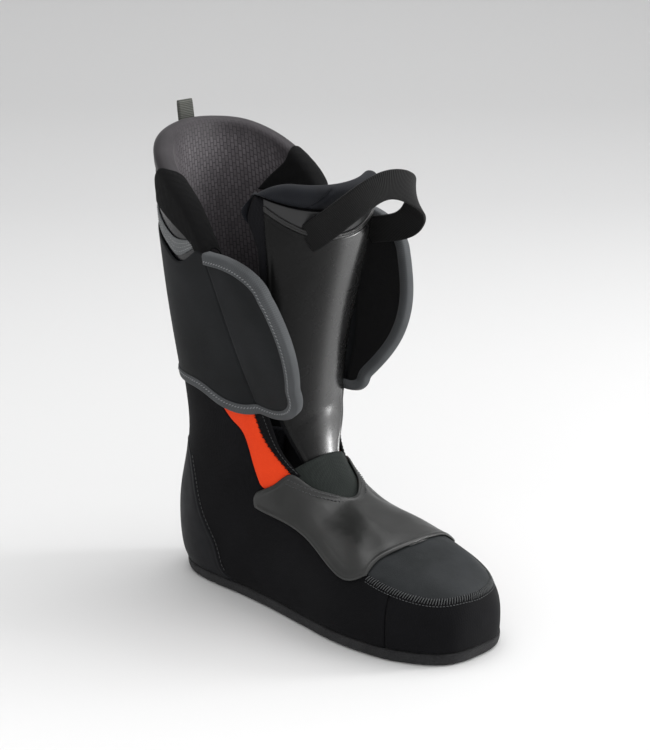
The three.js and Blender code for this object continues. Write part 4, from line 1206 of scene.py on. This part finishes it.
def cord_sweep(name, line, radius, material, sides=12):
    """A thin round cord laid along a line, closed at both ends."""
    ahead = unit(np.gradient(line, axis=0))
    aside = unit(np.cross(ahead, np.array([0.1, -1.0, 0.3])))
    over = np.cross(ahead, aside)
    turned = 2 * np.pi * np.arange(sides) / sides
    size = np.full(len(line), radius)
    size[0], size[-1] = radius * 0.4, radius * 0.4
    rows = line[:, None] + size[:, None, None] * (aside[:, None] * np.cos(turned)[None, :, None]
                                                  + over[:, None] * np.sin(turned)[None, :, None])
    return mesh_piece(name, rows.reshape(-1, 3), tube_faces(len(line), sides), None, material)


def panel_top(s):
    return np.maximum(rim_ring(s), piping_ring(s) + 0.2) - 0.02


satin = leather_finish("satin_tongue_leather", (.010, .010, .011), (.019, .019, .020), 0.42, pores=1500,
                       depth=0.0001)
top_panel = sheet_piece(
    "tongue_top_panel", tongue, between(lambda s: piping_ring(s) + 0.10, panel_top, PLATE_SHARE),
    90, 30, 0.2, 1.7, satin, roll=1.4,
    relief=lambda a, b, u, v, away, s, t: 0.5 * np.sin(np.pi * s) * np.sin(np.pi * t))
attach(top_panel, "tongue")
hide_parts("tongue_top_panel")
piping_finish = leather_finish("piping_leather", (.004, .004, .004), (.009, .009, .009), 0.35, pores=1500)
across = np.linspace(-PLATE_SHARE, PLATE_SHARE, 120)
for k, (up_by, radius, depth) in enumerate(((0.005, 1.15, 1.9), (0.078, 1.0, 2.0))):
    pipe_line = tongue(across, piping_ring(across) + up_by, depth)
    pipe = cord_sweep(f"tongue_piping_{k + 1}", pipe_line, radius, piping_finish)
    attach(pipe, "tongue")
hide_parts("tongue_piping")


def rim_relief(a, b, u, v, away, s, t):
    seam = -1.6 * np.exp(-((a + 0.47 - 0.30 * t) / 0.022) ** 2)
    bulge = 4.0 * np.clip((np.abs(a) - 0.72) / 0.3, 0, 1) ** 1.5 * np.clip(away / 8, 0, 1)
    return 0.8 * np.sin(np.pi * t) + bulge + seam * np.clip(away / 3, 0, 1)


lycra = stretch_finish("rim_lycra", (.0045, .005, .007), (.012, .0135, .018), 0.62, ribbed=520, sheen=0.04)
rim = sheet_piece("tongue_rim", tongue, between(rim_ring, rim_top, fuller=0.13), 130, 50,
                  -TONGUE, 1.5, lycra, roll=6.0, relief=rim_relief, tight=0.4, drop=0.95)
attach(rim, "tongue")
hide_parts("tongue_rim")

# ---- Pull loop --------------------------------------------------------------------------------
# A handle of ribbed polyester webbing stands up over the tongue. Both its ends are tucked in under
# the piping, where they are sewn.

LOOP_WIDTH, LOOP_THICKNESS, LOOP_POINTS = 20.0, 2.2, 150
# Each point of the bow: its share of the way between the ends, how far forward and how far up.
LOOP_BOW = ((0.22, 25, 24), (0.47, 39, 38), (0.74, 45.5, 36.8), (0.93, 43, 25), (1.02, 29, 8.5))
RIB_PITCH, PICK_PITCH = 1.15, 0.8


def webbing_finish(name, low, high):
    """Narrow woven webbing: ribs across the width, finer picks along it."""
    material, tree, shader = new_finish(name, 0.62, Sheen_Weight=0.03, Sheen_Roughness=0.4)
    place = cloth_place(tree)
    ribs = maths(tree, "SINE", maths(tree, "MULTIPLY", place[0], math.tau / (RIB_PITCH * MM)))
    picks = maths(tree, "SINE", maths(tree, "MULTIPLY", place[1], math.tau / (PICK_PITCH * MM)))
    both = maths(tree, "ADD", ribs, maths(tree, "MULTIPLY", picks, 0.5))
    weave = maths(tree, "MULTIPLY_ADD", both, 0.33, 0.5)
    tint(tree, shader, weave, [(0.1, low), (0.9, high)])
    bump(tree, shader, weave, 0.00045, 0.8)
    return material


def webbing(name, line, across, width, thickness, material):
    """A flat woven band along a line, with rounded selvages."""
    ahead = unit(np.gradient(line, axis=0))
    across = np.broadcast_to(np.asarray(across, float), line.shape)
    across = unit(across - ahead * np.sum(across * ahead, axis=1, keepdims=True))
    out = np.cross(ahead, across)
    w, h = width / 2, thickness / 2
    half = [(x, h) for x in np.linspace(-w + 0.8, w - 0.8, 15)]
    half += [(w - .25, h * .8), (w, 0), (w - .25, -h * .8)]
    section = half + [(-x, -z) for x, z in half]
    rows = np.stack([line + across * x + out * z for x, z in section], 1)
    n, m = rows.shape[:2]
    uv = np.stack([np.repeat(run_of(line), m), np.tile([x for x, _ in section], n)], -1)
    return mesh_piece(name, rows.reshape(-1, 3), tube_faces(n, m), uv, material)


def corners_smoothed(points, count):
    """Even points on a smooth curve through a few given ones."""
    points = np.asarray(points, float)
    run = np.concatenate([[0], np.cumsum(np.sqrt(np.linalg.norm(np.diff(points, axis=0), axis=1)))])
    places = np.interp(np.linspace(0, run[-1], 400), run, np.arange(len(points)))
    dense = curve_through(points, places)
    run = run_of(dense)
    return points_at(np.linspace(0, run[-1], count), run, dense)


outer_end = tongue(-0.40, 17.75, 4.3)
inner_end = tongue(0.9, 17.3, 4.5)
bowed = [outer_end + (inner_end - outer_end) * share + np.array([0, -forward, up])
         for share, forward, up in LOOP_BOW]
loop_line = corners_smoothed([outer_end, *bowed, inner_end], LOOP_POINTS)
from_end = np.minimum(np.arange(LOOP_POINTS), np.arange(LOOP_POINTS)[::-1])
sewn_in = np.clip(1 - from_end / 9, 0, 1)[:, None] ** 2
loop_line = loop_line + np.array([0, 4.6, -1.2]) * sewn_in
black_webbing = webbing_finish("black_webbing", (.0025, .0025, .0028), (.012, .012, .012))
loop = webbing("pull_loop", loop_line, (-0.35, 0, 1), LOOP_WIDTH, LOOP_THICKNESS, black_webbing)
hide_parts("pull_loop")
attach(loop, "pull_loop")

# ---- Rear tab ---------------------------------------------------------------------------------
# A short piece of grey webbing is folded double and sewn into the collar's back seam, to pull the
# boot out of its shell.

TAB_WIDTH = 13.0
tab_up = [(18.0, 3.1), (18.3, 3.1), (18.65, 3.15), (18.9, 3.3), (19.08, 3.5), (19.15, 4.1), (19.08, 4.75),
          (18.9, 4.9), (18.65, 4.9), (18.3, 4.95), (18.0, 5.0)]
tab_line = corners_smoothed([last(ring, 180.0, depth) for ring, depth in tab_up], 70) + np.array([2.0, 0, 0])
grey_webbing = webbing_finish("grey_tab_webbing", (.045, .046, .040), (.15, .155, .14))
tab = webbing("rear_tab", tab_line, (1, 0, 0), TAB_WIDTH, 1.3, grey_webbing)
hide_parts("rear_pull_tab", "rear_tab_anchor")
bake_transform(tab)

# ---- Studio -----------------------------------------------------------------------------------
# A pale floor sweeps up into a backdrop. Soft light falls from above and from high on the right, a
# narrow strip stands on the right, and a weak lamp fills in from the front. The camera stands off
# the toe on the outer side.

SWEEP_HALF_WIDTH, SWEEP_COLUMNS = 3.4, 9
# The backdrop's profile in metres: how far away, how high.
SWEEP_PROFILE = ((-3.0, 0), (-1.5, 0), (0, 0), (1.2, 0), (1.7, .03), (2.1, .14), (2.4, .36), (2.55, .7),
                 (2.6, 1.2), (2.6, 3.4))


def sweep_finish():
    """Pale paper, with painted shade: its colour grades darker away from the boot and up the backdrop."""
    material, tree, shader = new_finish("studio_sweep", 0.9)
    shader.inputs["Specular IOR Level"].default_value = 0.05
    place = node(tree, "ShaderNodeTexCoord").outputs["Object"]
    # Painted shade: the paper's colour darkens with distance from the boot and with height.
    deep = node(tree, "ShaderNodeVectorMath", {0: place, 1: (0.707, 0.707, 0.30)}, operation="DOT_PRODUCT")
    tint(tree, shader, maths(tree, "MULTIPLY_ADD", deep.outputs["Value"], 0.25, 0.25),
         [(0.10, (.86, .86, .86)), (0.30, (.72, .72, .72)), (0.55, (.68, .68, .682)),
          (0.95, (.62, .62, .622))])
    return material


AZIMUTH, ELEVATION = math.radians(-45), math.radians(17)
right = Vector((math.cos(AZIMUTH), math.sin(AZIMUTH), 0))
back = Vector((math.sin(AZIMUTH) * math.cos(ELEVATION), -math.cos(AZIMUTH) * math.cos(ELEVATION),
               math.sin(ELEVATION)))
up = back.cross(right)
away = Vector((-back.x, -back.y, 0)).normalized()
rows = []
for reach, height in SWEEP_PROFILE:
    rows += [away * reach + right * side * SWEEP_HALF_WIDTH + Vector((0, 0, height))
             for side in np.linspace(-1, 1, SWEEP_COLUMNS)]
sweep = mesh_piece("studio_sweep", np.array(rows) / MM,
                   grid_faces(len(SWEEP_PROFILE), SWEEP_COLUMNS)[:, ::-1], None, sweep_finish())


def soft_light(name, place, aim, size, power, colour=(1, 1, 1)):
    data = bpy.data.lights.new(name, "AREA")
    data.shape, data.size, data.size_y = "RECTANGLE", size[0], size[1]
    data.energy, data.color = power, colour
    lamp = bpy.data.objects.new(name, data)
    bpy.context.scene.collection.objects.link(lamp)
    lamp.location = place
    lamp.rotation_mode = "QUATERNION"
    lamp.rotation_quaternion = (Vector(place) - Vector(aim)).to_track_quat("Z", "Y")
    return lamp


middle = Vector((0, -.03, .15))
soft_light("key_light", middle + right * 1.0 + away * 0.3 + Vector((0, 0, 1.35)), middle, (1.3, 1.3), 6)
soft_light("top_light", middle + away * 0.3 + Vector((0, 0, 1.7)), middle, (1.8, 1.6), 17)
soft_light("side_strip", Vector((1.12, -.90, .30)), middle, (0.24, 1.0), 14)
soft_light("front_fill", middle - away * 1.7 - right * 0.3 + Vector((0, 0, 0.9)), middle, (1.6, 1.0), 3)
world = bpy.data.worlds.new("studio_world")
world.use_nodes = True
sky = world.node_tree
facing = node(sky, "ShaderNodeTexCoord").outputs["Generated"]
lit = node(sky, "ShaderNodeVectorMath", {0: facing, 1: (0.45, -0.45, 0.75)}, operation="DOT_PRODUCT")
strength = node(sky, "ShaderNodeMapRange",
                {0: lit.outputs["Value"], 1: -0.7, 2: 0.9, 3: 0.30, 4: 0.85}).outputs[0]
sky.nodes["Background"].inputs[0].default_value = (1, 1, 1, 1)
sky.links.new(strength, sky.nodes["Background"].inputs[1])
bpy.context.scene.world = world
bpy.context.scene.view_settings.view_transform = "Standard"

STAND_OFF, SLIDE, RISE = 1.6, 0.04225, 0.14225
LENS, SENSOR = 109.06, 36
camera_data = bpy.data.cameras.new("camera")
camera_data.lens, camera_data.sensor_width = LENS, SENSOR
camera_data.sensor_fit = "AUTO"
camera = bpy.data.objects.new("camera", camera_data)
bpy.context.scene.collection.objects.link(camera)
camera.location = back * STAND_OFF + right * SLIDE + up * RISE
camera.rotation_mode = "QUATERNION"
camera.rotation_quaternion = back.to_track_quat("Z", "Y")
bpy.context.scene.camera = camera
